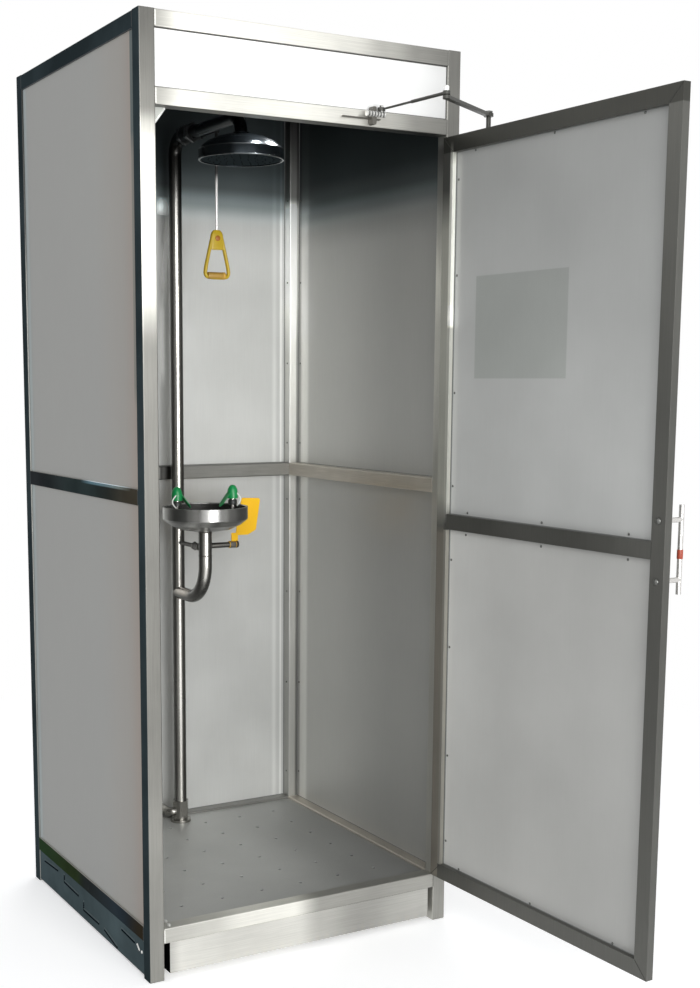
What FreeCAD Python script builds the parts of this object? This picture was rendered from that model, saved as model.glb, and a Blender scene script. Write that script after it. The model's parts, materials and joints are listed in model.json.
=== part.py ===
import FreeCAD, Part
import math
import os
import re

import Sketcher

# Document and the table of sizes, in millimetres and degrees
doc = FreeCAD.newDocument("shower_booth")
os.makedirs("parts", exist_ok=True)
sheet = doc.addObject("Spreadsheet::Sheet", "Sizes")
sheet.Label = "Sizes"

# Every size is written once here; positions are counted from the booth's front left bottom corner
SIZES = [
    # Booth, and where its corner lies from the origin
    ("booth_width", 900), ("booth_depth", 865), ("booth_height", 2335), ("origin_x", 471),
    ("origin_y", 20.5),
    # Frame tube and the heights of the rails
    ("tube_size", 40), ("tube_wall", 2), ("tube_round", 3), ("header_drop", 211), ("mid_low", 1197),
    ("low_rail_low", 96),
    # Sheets, skirts and the corner gusset
    ("panel_thick", 1.5), ("panel_inset", 5), ("header_inset", 6), ("roof_drop", 4), ("roof_thick", 2),
    ("skirt_inset", 3), ("skirt_thick", 2), ("skirt_lift", 6), ("gusset_wide", 36), ("gusset_tall", 48),
    ("gusset_thick", 3), ("gusset_set", 27),
    # Floor plate and sump tray
    ("floor_drop", 7), ("floor_thick", 3), ("floor_edge", 30), ("hole_radius", 5.5), ("hole_pitch_x", 120),
    ("hole_pitch_y", 119), ("hole_count_x", 6), ("hole_count_y", 6), ("tray_gap", 56), ("tray_front", 2),
    ("tray_back", 7), ("tray_low", 15), ("tray_wall", 2),
    # Shower supply and head
    ("pipe_back", 80), ("pipe_radius", 19), ("pipe_bend", 50), ("arm_drop", 140), ("arm_radius", 17),
    ("arm_bend", 45), ("head_out", 421), ("head_radius", 114), ("head_tall", 72), ("head_band", 27),
    ("head_lip", 4), ("head_recess", 3), ("head_neck", 22),
    # Shower valve, its lever and the pull handle
    ("valve_out", 95), ("valve_half", 30), ("valve_radius", 25), ("stem_radius", 5), ("stem_reach", 54),
    ("lever_side", 36), ("lever_thick", 6), ("lever_length", 85), ("lever_depth", 14),
    ("lever_boss_radius", 12), ("lever_pin", 4), ("knob_radius", 7), ("knob_thick", 2),
    ("pivot_play", 0.05), ("side_play", 0.5), ("rod_radius", 3.4), ("rod_eye", 9), ("rod_eye_thick", 7),
    ("rod_long", 274), ("handle_tall", 139), ("handle_half", 44), ("handle_top_half", 14),
    ("handle_neck_half", 20), ("handle_neck", 13), ("handle_leg", 14), ("handle_foot", 26),
    ("handle_thick", 13), ("handle_round", 3), ("grip_radius", 10.5), ("window_low", 23),
    ("window_high", 84), ("window_half", 16.5), ("grip_half", 31), ("grip_rise", 13),
    # Union and water inlet at the foot of the standpipe
    ("foot_radius", 32), ("foot_thick", 8), ("union_lift", 18), ("union_tall", 49), ("union_radius", 26),
    ("neck_wall", 3), ("inlet_lift", 33), ("inlet_radius", 13), ("inlet_bore", 9), ("inlet_depth", 20),
    ("inlet_side", 39), ("inlet_bend", 18), ("inlet_end", 1), ("inlet_play", 1.5),
    # Eyewash bowl, spray manifold and caps
    ("bowl_out", 188), ("bowl_radius", 125), ("bowl_low", 1060), ("bowl_dish", 38), ("bowl_wall", 4),
    ("bowl_band", 35), ("bowl_foot", 36), ("riser_spread", 90), ("riser_radius", 8), ("riser_wide", 9),
    ("riser_drop", 30), ("riser_rise", 20), ("riser_post", 12), ("cap_radius", 16), ("cap_tall", 40),
    ("flap_radius", 11), ("flap_long", 58), ("flap_thick", 2.5), ("flap_lean", 52), ("flap_drop", 8),
    # Drain, eyewash branch and push flag
    ("drain_radius", 19.5), ("drain_bend", 105), ("drain_straight", 100), ("branch_out", 135),
    ("branch_drop", 51), ("branch_radius", 6.5), ("branch_block", 11), ("branch_half", 18),
    ("branch_arm", 8.5), ("branch_reach", 104), ("flag_pin", 5), ("flag_pin_reach", 26), ("flag_hub", 10.5),
    ("flag_hub_long", 22), ("flag_thick", 3), ("flag_tall", 139), ("flag_width", 106),
    ("flag_top_left", 43), ("flag_foot", 27), ("flag_foot_left", 23), ("flag_foot_right", 64),
    ("flag_waist", 53), ("flag_side", 91), ("flag_side_rise", 41), ("flag_round", 7), ("flag_tab_left", 8),
    ("flag_tab_seat", 8), ("flag_tab_low", 7),
    # Door leaf and its pull handle
    ("door_side_gap", 6), ("door_top_gap", 11), ("door_low_gap", 8), ("door_thick", 20), ("door_wall", 1.5),
    ("door_face", 0), ("door_mid_low", 1108), ("door_panel_thick", 1.2), ("door_panel_inset", 4.3),
    ("door_open", 92), ("pull_low", 1028), ("pull_long", 200), ("pull_bolt", 33), ("pull_radius", 6),
    ("pull_out", 50), ("pull_side", 20),
    # Hinges
    ("hinge_side", 10), ("hinge_out", 6), ("hinge_rise", 236), ("hinge_drop", 333), ("knuckle_radius", 5),
    ("knuckle_long", 48), ("knuckle_gap", 0.5), ("hinge_pin", 3), ("hinge_leaf_width", 30),
    ("hinge_leaf_thick", 2), ("hinge_web", 4), ("hinge_inset", 1.2), ("post_play", 0.3),
    # Door closer
    ("closer_right", 46), ("closer_long", 236), ("closer_deep", 42), ("closer_tall", 60),
    ("closer_drop", 75), ("closer_round", 5), ("spindle_x", -134.69), ("spindle_y", -17.31),
    ("spindle_radius", 6), ("spindle_over", 5), ("spindle_sunk", 5), ("arm_rise", 26), ("arm_thick", 8),
    ("arm_half", 7), ("elbow_half", 9), ("arm_length", 257.22), ("arm_eye", 12), ("arm_play", 2),
    ("fore_thick", 8), ("fore_eye", 10), ("fore_length", 246.36), ("fore_rod", 2.8), ("fore_sleeve", 4),
    ("fore_sleeve_long", 128), ("shoe_out", 222), ("shoe_y", -24), ("shoe_side", 102), ("shoe_long", 112),
    ("shoe_rise", 12), ("shoe_tall", 14), ("shoe_thick", 3), ("shoe_block", 10), ("shoe_barrel", 44),
    ("shoe_foot", 4), ("shoe_pin", 5), ("pin_over", 6),
]
for row, (alias, value) in enumerate(SIZES, start=1):
    sheet.set("A%d" % row, alias)
    sheet.set("B%d" % row, repr(value))
    sheet.setAlias("B%d" % row, alias)
doc.recompute()

# Places that follow from the sizes, in words
FITS = [
    ("header_low", "booth_height - header_drop"),
    ("floor_top", "low_rail_low + tube_size - floor_drop"),
    ("pipe_y", "booth_depth - pipe_back"),
    ("valve_y", "pipe_y - valve_out"),
    ("head_y", "pipe_y - head_out"),
    ("bowl_y", "pipe_y - bowl_out"),
    ("branch_y", "pipe_y - branch_out"),
    ("arm_height", "booth_height - arm_drop"),
    ("head_low", "arm_height - arm_bend - head_tall"),
    ("handle_high", "arm_height - rod_long"),
    ("handle_low", "handle_high - handle_tall"),
    ("union_low", "floor_top + union_lift"),
    ("union_high", "union_low + union_tall"),
    ("inlet_height", "floor_top + inlet_lift"),
    ("bowl_high", "bowl_low + bowl_dish + bowl_band"),
    ("riser_bar", "bowl_high - riser_drop"),
    ("riser_high", "bowl_high + riser_rise"),
    ("drain_height", "bowl_low - drain_straight - drain_bend"),
    ("branch_height", "bowl_low - branch_drop"),
    ("door_left", "tube_size + door_side_gap"),
    ("door_right", "booth_width - tube_size - door_side_gap"),
    ("door_low", "low_rail_low + tube_size + door_low_gap"),
    ("door_high", "header_low - door_top_gap"),
    ("hinge_x", "door_right + hinge_side"),
    ("closer_low", "door_high - closer_drop"),
    ("arm_low", "header_low + arm_rise"),
    ("fore_low", "arm_low + arm_thick + arm_play"),
    ("shoe_x", "hinge_x - shoe_out"),
    ("shoe_low", "header_low + shoe_rise"),
]
ALIASES = re.compile(r"\b(" + "|".join(sorted([alias for alias, value in SIZES], key=len, reverse=True)) + r")\b")


def in_sizes(text):
    """Write a place out in the sizes that it follows from."""
    text = str(text)
    for name, words in reversed(FITS):
        text = re.sub(r"\b%s\b" % name, "(" + words + ")", text)
    return text


def bind(item, prop, text):
    """Bind a property, or a constraint by its number, to the sizes in the table."""
    if isinstance(prop, int):
        prop = "Constraints[%d]" % prop
    item.setExpression(prop, ALIASES.sub(r"Sizes.\1", in_sizes(text)))


def start_value(text):
    """The start value of a constraint, worked out from the words of its expression."""
    table = dict(SIZES)
    tokens = re.findall(r"[a-z_]+|[0-9.]+|[-+*/()]", in_sizes(text))

    def factor():
        token = tokens.pop(0)
        if token == "(":
            value = total()
            tokens.pop(0)
            return value
        if token == "-":
            return -factor()
        return float(table.get(token, token))

    def term():
        value = factor()
        while tokens and tokens[0] in "*/":
            value = value * factor() if tokens.pop(0) == "*" else value / factor()
        return value

    def total():
        value = term()
        while tokens and tokens[0] in "+-":
            value = value + term() if tokens.pop(0) == "+" else value - term()
        return value

    return total()


def place(item, px, py, pz):
    bind(item, "Placement.Base.x", px)
    bind(item, "Placement.Base.y", py)
    bind(item, "Placement.Base.z", pz)


def box(name, lx, ly, lz, px, py, pz):
    item = doc.addObject("Part::Box", name)
    bind(item, "Length", lx)
    bind(item, "Width", ly)
    bind(item, "Height", lz)
    place(item, px, py, pz)
    return item


# A right angle, also the start value of the turns that are bound to the sizes
QUARTER = 90
TURNS = {
    "x": FreeCAD.Rotation(FreeCAD.Vector(0, 1, 0), QUARTER),
    "-x": FreeCAD.Rotation(FreeCAD.Vector(0, 1, 0), -QUARTER),
    "y": FreeCAD.Rotation(FreeCAD.Vector(1, 0, 0), -QUARTER),
    "z": FreeCAD.Rotation(),
}


def rod(name, radius, length, px, py, pz, axis="z"):
    item = doc.addObject("Part::Cylinder", name)
    item.Placement = FreeCAD.Placement(FreeCAD.Vector(), TURNS[axis])
    bind(item, "Radius", radius)
    bind(item, "Height", length)
    place(item, px, py, pz)
    return item


def join(name, shapes):
    item = doc.addObject("Part::MultiFuse", name)
    item.Shapes = shapes
    return item


def cut(name, base, tool):
    item = doc.addObject("Part::Cut", name)
    item.Base = base
    item.Tool = tool
    return item


# Pieces in assembly order: name and object
nodes = []


def node(name, item):
    item.Label = name
    nodes.append((name, item))
    return item


def new_body(name):
    return doc.addObject("PartDesign::Body", name)


def sketch_on(owner, role, name):
    """A sketch on one of the body's own origin planes."""
    item = owner.newObject("Sketcher::SketchObject", name)
    plane = next(feature for feature in owner.Origin.OriginFeatures if feature.Role == role)
    item.AttachmentSupport = [(plane, "")]
    item.MapMode = "FlatFace"
    return item


def draw_loop(item, points):
    """A closed outline whose corners are bound to the sizes, a pair of words for each corner."""
    first = item.GeometryCount
    count = len(points)
    start = [FreeCAD.Vector(start_value(a), start_value(b), 0) for a, b in points]
    for index in range(count):
        item.addGeometry(Part.LineSegment(start[index], start[(index + 1) % count]), False)
    for index in range(count):
        item.addConstraint(Sketcher.Constraint("Coincident", first + index, 2, first + (index + 1) % count, 1))
    for index, (a, b) in enumerate(points):
        for text, value, kind, line in ((a, start[index].x, "DistanceX", -2), (b, start[index].y, "DistanceY", -1)):
            if value == 0:
                item.addConstraint(Sketcher.Constraint("PointOnObject", first + index, 1, line))
            else:
                bind(item, item.addConstraint(Sketcher.Constraint(kind, -1, 1, first + index, 1, value)), text)


def draw_rectangle(item, half_x, half_y):
    """A rectangle round the sketch's origin."""
    draw_loop(item, [("0 - (%s)" % half_x, "0 - (%s)" % half_y), (half_x, "0 - (%s)" % half_y),
                     (half_x, half_y), ("0 - (%s)" % half_x, half_y)])


def draw_round_square(item, half, corner):
    """A square round the sketch's origin with rounded corners."""
    first = item.GeometryCount
    h, r = start_value(half), start_value(corner)
    sides = [((r - h, -h), (h - r, -h)), ((h, r - h), (h, h - r)), ((h - r, h), (r - h, h)), ((-h, h - r), (-h, r - h))]
    quarter = math.pi / 2
    centres = [(h - r, r - h, -quarter), (h - r, h - r, 0), (r - h, h - r, quarter), (r - h, r - h, 2 * quarter)]
    for a, b in sides:
        item.addGeometry(Part.LineSegment(FreeCAD.Vector(*a, 0), FreeCAD.Vector(*b, 0)), False)
    for x, y, begin in centres:
        ring = Part.Circle(FreeCAD.Vector(x, y, 0), FreeCAD.Vector(0, 0, 1), r)
        item.addGeometry(Part.ArcOfCircle(ring, begin, begin + quarter), False)
    for index in range(4):
        item.addConstraint(Sketcher.Constraint("Tangent", first + index, 2, first + 4 + index, 1))
        item.addConstraint(Sketcher.Constraint("Tangent", first + 4 + index, 2, first + (index + 1) % 4, 1))
        item.addConstraint(Sketcher.Constraint("Horizontal" if index % 2 == 0 else "Vertical", first + index))
    for index in (1, 2, 3):
        item.addConstraint(Sketcher.Constraint("Equal", first + 4, first + 4 + index))
    bind(item, item.addConstraint(Sketcher.Constraint("Radius", first + 4, r)), corner)
    bind(item, item.addConstraint(Sketcher.Constraint("DistanceX", -1, 1, first + 1, 1, h)), half)
    bind(item, item.addConstraint(Sketcher.Constraint("DistanceY", -1, 1, first + 2, 1, h)), half)
    bind(item, item.addConstraint(Sketcher.Constraint("DistanceX", first + 3, 1, -1, 1, h)), half)
    bind(item, item.addConstraint(Sketcher.Constraint("DistanceY", first, 1, -1, 1, h)), half)


def pad_of(owner, profile, length, name, back=False, middle=False):
    item = owner.newObject("PartDesign::Pad", name)
    item.Profile = profile
    item.Reversed = back
    item.Midplane = middle
    bind(item, "Length", length)
    doc.recompute()
    return item


def rounded(owner, base, radius, name):
    """Round the edges of a pad that run through its thickness."""
    item = owner.newObject("PartDesign::Fillet", name)
    chosen = []
    for index, edge in enumerate(base.Shape.Edges, start=1):
        run = edge.Vertexes[-1].Point - edge.Vertexes[0].Point
        if run.cross(FreeCAD.Vector(0, 1, 0)).Length < 1e-6:
            chosen.append("Edge%d" % index)
    item.Base = (base, chosen)
    bind(item, "Radius", radius)
    doc.recompute()
    return item


def chamfered(owner, base, size, name):
    """Take the corners off all edges of a pad."""
    item = owner.newObject("PartDesign::Chamfer", name)
    item.Base = (base, ["Edge%d" % index for index in range(1, len(base.Shape.Edges) + 1)])
    bind(item, "Size", size)
    doc.recompute()
    return item


# Booth corner in the part's own frame, and the clear spans between the posts
BX = "(0 - origin_x)"
BY = "(0 - origin_y)"
SPAN_X = "booth_width - 2 * tube_size"
SPAN_Y = "booth_depth - 2 * tube_size"
INX = BX + " + tube_size"
INY = BY + " + tube_size"
RIGHT = BX + " + booth_width - tube_size"
BACK = BY + " + booth_depth - tube_size"
TOP = "booth_height - tube_size"
MIDDLE = " + tube_size / 2"

# Posts: square tube with rounded corners, closed at top and bottom
for name, px, py in (
        ("post_front_left", BX, BY), ("post_front_right", RIGHT, BY),
        ("post_back_left", BX, BACK), ("post_back_right", RIGHT, BACK)):
    body = new_body(name + "_body")
    outside = sketch_on(body, "XY_Plane", name + "_outside")
    draw_round_square(outside, "tube_size / 2", "tube_round")
    pad_of(body, outside, "booth_height", name + "_pad")
    hollow = sketch_on(body, "XY_Plane", name + "_hollow")
    draw_rectangle(hollow, "tube_size / 2 - tube_wall", "tube_size / 2 - tube_wall")
    bind(hollow, "AttachmentOffset.Base.z", "tube_wall")
    pocket = body.newObject("PartDesign::Pocket", name + "_pocket")
    pocket.Profile = hollow
    pocket.Reversed = True
    bind(pocket, "Length", "booth_height - 2 * tube_wall")
    place(body, px + MIDDLE, py + MIDDLE, "0")
    node(name, body)


def rail(name, axis, length, px, py, pz):
    """A length of the same tube, open at the ends that are welded against the posts."""
    body = new_body(name + "_body")
    profile = sketch_on(body, {"x": "YZ_Plane", "y": "XZ_Plane"}[axis], name + "_profile")
    draw_round_square(profile, "tube_size / 2", "tube_round")
    draw_rectangle(profile, "tube_size / 2 - tube_wall", "tube_size / 2 - tube_wall")
    pad_of(body, profile, length, name + "_pad", back=axis == "y")
    if axis == "x":
        place(body, px, py + MIDDLE, pz + MIDDLE)
    else:
        place(body, px + MIDDLE, py, pz + MIDDLE)
    node(name, body)


# Rails between the posts
for name, py, pz in (
        ("top_rail_front", BY, TOP), ("top_rail_back", BACK, TOP), ("header_rail", BY, "header_low"),
        ("mid_rail_back", BACK, "mid_low"), ("low_rail_front", BY, "low_rail_low"), ("low_rail_back", BACK, "low_rail_low")):
    rail(name, "x", SPAN_X, INX, py, pz)
for side, px in (("left", BX), ("right", RIGHT)):
    rail("top_rail_" + side, "y", SPAN_Y, px, INY, TOP)
    rail("mid_rail_" + side, "y", SPAN_Y, px, INY, "mid_low")
    rail("low_rail_" + side, "y", SPAN_Y, px, INY, "low_rail_low")

# Skirt plates under the side and back low rails
SKIRT_TALL = "low_rail_low - skirt_lift"
node("skirt_left", box("skirt_left", "skirt_thick", SPAN_Y, SKIRT_TALL, BX + " + skirt_inset", INY, "skirt_lift"))
node("skirt_right", box("skirt_right", "skirt_thick", SPAN_Y, SKIRT_TALL,
                        BX + " + booth_width - skirt_inset - skirt_thick", INY, "skirt_lift"))
node("skirt_back", box("skirt_back", SPAN_X, "skirt_thick", SKIRT_TALL,
                       INX, BY + " + booth_depth - skirt_inset - skirt_thick", "skirt_lift"))

# Sheet panels between the rails
UPPER_LOW = "mid_low + tube_size"
UPPER_TALL = "booth_height - 2 * tube_size - mid_low"
LOWER_LOW = "low_rail_low + tube_size"
LOWER_TALL = "mid_low - low_rail_low - tube_size"
PANEL_BACK = BY + " + booth_depth - panel_inset - panel_thick"
for side, px in (("left", BX + " + panel_inset"), ("right", BX + " + booth_width - panel_inset - panel_thick")):
    for part, low, tall in (("upper", UPPER_LOW, UPPER_TALL), ("lower", LOWER_LOW, LOWER_TALL)):
        name = "panel_%s_%s" % (side, part)
        node(name, box(name, "panel_thick", SPAN_Y, tall, px, INY, low))
node("panel_back_upper", box("panel_back_upper", SPAN_X, "panel_thick", UPPER_TALL, INX, PANEL_BACK, UPPER_LOW))
back_sheet = box("panel_back_lower_sheet", SPAN_X, "panel_thick", LOWER_TALL, INX, PANEL_BACK, LOWER_LOW)
back_hole = rod("panel_back_lower_hole", "inlet_radius + inlet_play", "panel_thick",
                BX + " + booth_width / 2 - inlet_side", PANEL_BACK, "inlet_height", "y")
node("panel_back_lower", cut("panel_back_lower_cut", back_sheet, back_hole))
node("header_panel", box("header_panel", SPAN_X, "panel_thick", "header_drop - 2 * tube_size",
                         INX, BY + " + header_inset", "header_low + tube_size"))
node("roof_panel", box("roof_panel", SPAN_X, SPAN_Y, "roof_thick", INX, INY, "booth_height - roof_drop - roof_thick"))

# Gusset plate in the upper left corner of the doorway
gusset_body = new_body("gusset_body")
gusset_sketch = sketch_on(gusset_body, "XZ_Plane", "gusset_outline")
draw_loop(gusset_sketch, [("0", "0"), ("gusset_wide", "0"), ("0", "0 - gusset_tall")])
pad_of(gusset_body, gusset_sketch, "gusset_thick", "gusset_pad", back=True)
place(gusset_body, INX, BY + " + gusset_set", "header_low")
node("doorway_gusset", gusset_body)

# Perforated floor plate with turned-down edges: a pad, a pocketed underside and a patterned hole
floor_body = new_body("floor_body")
HALF_X = "(booth_width - 2 * tube_size) / 2"
HALF_Y = "(booth_depth - 2 * tube_size) / 2"
outline = sketch_on(floor_body, "XY_Plane", "floor_outline")
draw_rectangle(outline, HALF_X, HALF_Y)
pad_of(floor_body, outline, "floor_edge", "floor_pad")
hollow = sketch_on(floor_body, "XY_Plane", "floor_hollow")
draw_rectangle(hollow, HALF_X + " - floor_thick", HALF_Y + " - floor_thick")
pocket = floor_body.newObject("PartDesign::Pocket", "floor_underside")
pocket.Profile = hollow
pocket.Reversed = True
bind(pocket, "Length", "floor_edge - floor_thick")
doc.recompute()
drill = sketch_on(floor_body, "XY_Plane", "floor_hole")
FIRST_X = "hole_pitch_x * (hole_count_x - 1) / 2"
FIRST_Y = "hole_pitch_y * (hole_count_y - 1) / 2"
first_x, first_y, first_radius = start_value(FIRST_X), start_value(FIRST_Y), start_value("hole_radius")
drill.addGeometry(Part.Circle(FreeCAD.Vector(-first_x, -first_y, 0), FreeCAD.Vector(0, 0, 1), first_radius), False)
bind(drill, drill.addConstraint(Sketcher.Constraint("DistanceX", 0, 3, -1, 1, first_x)), FIRST_X)
bind(drill, drill.addConstraint(Sketcher.Constraint("DistanceY", 0, 3, -1, 1, first_y)), FIRST_Y)
bind(drill, drill.addConstraint(Sketcher.Constraint("Radius", 0, first_radius)), "hole_radius")
doc.recompute()
hole = floor_body.newObject("PartDesign::Pocket", "floor_drill")
hole.Profile = drill
hole.Type = 1
hole.Reversed = True
doc.recompute()
grid = floor_body.newObject("PartDesign::MultiTransform", "floor_grid")
grid.Originals = [hole]
row_pattern = floor_body.newObject("PartDesign::LinearPattern", "floor_row")
row_pattern.Direction = (drill, ["H_Axis"])
column_pattern = floor_body.newObject("PartDesign::LinearPattern", "floor_column")
column_pattern.Direction = (drill, ["V_Axis"])
grid.Transformations = [row_pattern, column_pattern]
floor_body.Tip = grid
bind(row_pattern, "Length", "hole_pitch_x * (hole_count_x - 1)")
bind(row_pattern, "Occurrences", "hole_count_x")
bind(column_pattern, "Length", "hole_pitch_y * (hole_count_y - 1)")
bind(column_pattern, "Occurrences", "hole_count_y")
place(floor_body, BX + " + booth_width / 2", BY + " + booth_depth / 2", "floor_top - floor_edge")
node("floor_plate", floor_body)

# Sump tray, an open box hung under the front and back low rails
TRAY_X = BX + " + tray_gap"
TRAY_Y = BY + " + tray_front"
TRAY_LX = "booth_width - 2 * tray_gap"
TRAY_LY = "booth_depth - tray_front - tray_back"
outer = box("tray_outer", TRAY_LX, TRAY_LY, "low_rail_low - tray_low", TRAY_X, TRAY_Y, "tray_low")
inner = box("tray_inner", TRAY_LX + " - 2 * tray_wall", TRAY_LY + " - 2 * tray_wall", "low_rail_low - tray_low",
            TRAY_X + " + tray_wall", TRAY_Y + " + tray_wall", "tray_low + tray_wall")
node("sump_tray", cut("tray_cut", outer, inner))

# Shower supply: standpipe with its top bend, valve, arm with its end bend, head
CX = BX + " + booth_width / 2"
PIPE_Y = BY + " + pipe_y"


def bend(name, ring, radius, px, py, pz, turn):
    """A quarter of a ring, turned so that it lies where the pipe bends."""
    item = doc.addObject("Part::Torus", name)
    bind(item, "Radius1", ring)
    bind(item, "Radius2", radius)
    item.Angle3 = QUARTER
    item.Placement = FreeCAD.Placement(FreeCAD.Vector(), turn)
    place(item, px, py, pz)
    return item


# Rotations that carry a ring in the ground plane into the plane of the pipes, x to y and y to z
UPRIGHT = FreeCAD.Rotation(FreeCAD.Vector(1, 1, 1), 120)
TURN_TOP_BACK = UPRIGHT
TURN_TOP_FRONT = UPRIGHT.multiply(FreeCAD.Rotation(FreeCAD.Vector(0, 0, 1), QUARTER))
TURN_LOW_FRONT = UPRIGHT.multiply(FreeCAD.Rotation(FreeCAD.Vector(0, 0, 1), 2 * QUARTER))
riser = rod("pipe_riser", "pipe_radius", "arm_height - pipe_bend - floor_top", CX, PIPE_Y, "floor_top")
elbow = bend("pipe_elbow", "pipe_bend", "pipe_radius", CX, PIPE_Y + " - pipe_bend", "arm_height - pipe_bend", TURN_TOP_BACK)
tail = rod("pipe_tail", "pipe_radius", "valve_out - pipe_bend - valve_half", CX, BY + " + valve_y + valve_half",
           "arm_height", "y")
node("standpipe", join("standpipe_joined", [riser, elbow, tail]))
valve = rod("valve_barrel", "valve_radius", "2 * valve_half", CX, BY + " + valve_y - valve_half", "arm_height", "y")
stem = rod("valve_stem", "stem_radius", "stem_reach", CX, BY + " + valve_y", "arm_height", "x")
node("shower_valve", join("shower_valve_joined", [valve, stem]))
run = rod("arm_run", "arm_radius", "head_out - valve_out - valve_half - arm_bend", CX, BY + " + head_y + arm_bend",
          "arm_height", "y")
drop = bend("arm_drop_bend", "arm_bend", "arm_radius", CX, BY + " + head_y + arm_bend", "arm_height - arm_bend",
            TURN_TOP_FRONT)
node("shower_arm", join("shower_arm_joined", [run, drop]))


def turned(name, points, px, py, pz):
    """A turned piece: a closed outline of radius and height pairs, revolved about its own upright axis."""
    owner = new_body(name + "_body")
    profile = sketch_on(owner, "XZ_Plane", name + "_outline")
    draw_loop(profile, points)
    doc.recompute()
    spin = owner.newObject("PartDesign::Revolution", name + "_turned")
    spin.Profile = profile
    spin.ReferenceAxis = (profile, ["V_Axis"])
    spin.Angle = 360
    place(owner, px, py, pz)
    doc.recompute()
    return owner


# Shares of the head's radius and of the height of its domed top, from the rim inward
HEAD_DOME = [(0.93, 0.2), (0.8, 0.46), (0.58, 0.71), (0.34, 0.87)]
node("shower_head", turned("shower_head", [
    ("0", "head_recess"), ("head_radius - head_lip", "head_recess"), ("head_radius - head_lip", "0"),
    ("head_radius", "0"), ("head_radius", "head_band"),
    *[("head_radius * %s" % out, "head_band + (head_tall - head_band) * %s" % up) for out, up in HEAD_DOME],
    ("head_neck", "head_band + (head_tall - head_band) * 0.9"), ("head_neck", "head_tall"), ("0", "head_tall")],
    CX, BY + " + head_y", "head_low"))

# Valve lever on the stem, and the pull handle that hangs from its end pin
LEVER_X = CX + " + lever_side"
LEVER_END = BY + " + valve_y - lever_length"
boss = rod("lever_boss", "lever_boss_radius", "lever_thick", LEVER_X, BY + " + valve_y", "arm_height", "x")
blade = box("lever_blade", "lever_thick", "lever_length", "lever_depth", LEVER_X, LEVER_END, "arm_height - lever_depth / 2")
tip = rod("lever_tip", "lever_depth / 2", "lever_thick", LEVER_X, LEVER_END, "arm_height", "x")
peg = rod("lever_peg", "lever_pin", "lever_thick + rod_eye_thick + 2 * side_play + knob_thick", LEVER_X, LEVER_END,
          "arm_height", "x")
knob = rod("lever_knob", "knob_radius", "knob_thick", LEVER_X + " + lever_thick + rod_eye_thick + 2 * side_play",
           LEVER_END, "arm_height", "x")
bore = rod("lever_bore", "stem_radius + pivot_play", "lever_thick", LEVER_X, BY + " + valve_y", "arm_height", "x")
node("valve_lever", cut("valve_lever_cut", join("valve_lever_joined", [boss, blade, tip, peg, knob]), bore))
EYE_X = LEVER_X + " + lever_thick + side_play"
ROD_X = EYE_X + " + rod_eye_thick / 2"
eye = rod("pull_eye", "rod_eye", "rod_eye_thick", EYE_X, LEVER_END, "arm_height", "x")
wire = rod("pull_rod", "rod_radius", "arm_height - handle_high + handle_round", ROD_X, LEVER_END, "handle_high - handle_round")
eye_hole = rod("pull_eye_hole", "lever_pin + pivot_play", "rod_eye_thick", EYE_X, LEVER_END, "arm_height", "x")
grip_body = new_body("grip_body")
grip_sketch = sketch_on(grip_body, "XZ_Plane", "grip_outline")
NECK = "handle_tall - handle_neck"
draw_loop(grip_sketch, [
    ("0 - handle_top_half", "handle_tall"), ("0 - handle_neck_half", NECK), ("0 - handle_half", "handle_foot"),
    ("0 - handle_half", "grip_rise"), ("0 - handle_half + grip_rise", "0"), ("handle_half - grip_rise", "0"),
    ("handle_half", "grip_rise"), ("handle_half", "handle_foot"), ("handle_neck_half", NECK),
    ("handle_top_half", "handle_tall")])
draw_loop(grip_sketch, [
    ("0 - window_half", "window_high"), ("handle_leg - handle_half", "window_low"),
    ("handle_half - handle_leg", "window_low"), ("window_half", "window_high")])
grip_pad = pad_of(grip_body, grip_sketch, "handle_thick", "grip_pad", middle=True)
chamfered(grip_body, grip_pad, "handle_round", "grip_chamfer")
place(grip_body, ROD_X, LEVER_END, "handle_low")
sleeve = rod("grip_sleeve", "grip_radius", "2 * grip_half", ROD_X + " - grip_half", LEVER_END, "handle_low + grip_rise", "x")
node("pull_handle", cut("pull_handle_cut", join("pull_handle_joined", [eye, wire, grip_body, sleeve]), eye_hole))

# Foot flange, six-sided union nut and water inlet, which turns back and leaves through the back panel
INLET_X = CX + " - inlet_side"
INLET_END = BY + " + booth_depth - inlet_end"
foot = rod("union_foot", "foot_radius", "foot_thick", CX, PIPE_Y, "floor_top")
neck = rod("union_neck", "pipe_radius + neck_wall", "union_high - floor_top", CX, PIPE_Y, "floor_top")
nut = doc.addObject("Part::Prism", "union_nut")
nut.Polygon = 6
bind(nut, "Circumradius", "union_radius")
bind(nut, "Height", "union_tall")
place(nut, CX, PIPE_Y, "union_low")
branch = rod("union_inlet", "inlet_radius", "inlet_side - inlet_bend", CX, PIPE_Y, "inlet_height", "-x")
corner = bend("union_inlet_bend", "inlet_bend", "inlet_radius", INLET_X + " + inlet_bend", PIPE_Y + " + inlet_bend",
              "inlet_height", FreeCAD.Rotation(FreeCAD.Vector(0, 0, 1), 2 * QUARTER))
tail = rod("union_inlet_tail", "inlet_radius", "pipe_back - inlet_bend - inlet_end", INLET_X, PIPE_Y + " + inlet_bend",
           "inlet_height", "y")
pipe_space = rod("union_pipe_space", "pipe_radius + pivot_play", "union_high - floor_top", CX, PIPE_Y, "floor_top")
inlet_hole = rod("union_inlet_hole", "inlet_bore", "inlet_depth", INLET_X, INLET_END + " - inlet_depth", "inlet_height", "y")
node("floor_union", cut("floor_union_cut", join("floor_union_joined", [foot, neck, nut, branch, corner, tail]),
                        join("union_tools", [pipe_space, inlet_hole])))

# Eyewash bowl, its spray manifold and the dust caps with their flaps
BOWL_Y = BY + " + bowl_y"
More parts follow.
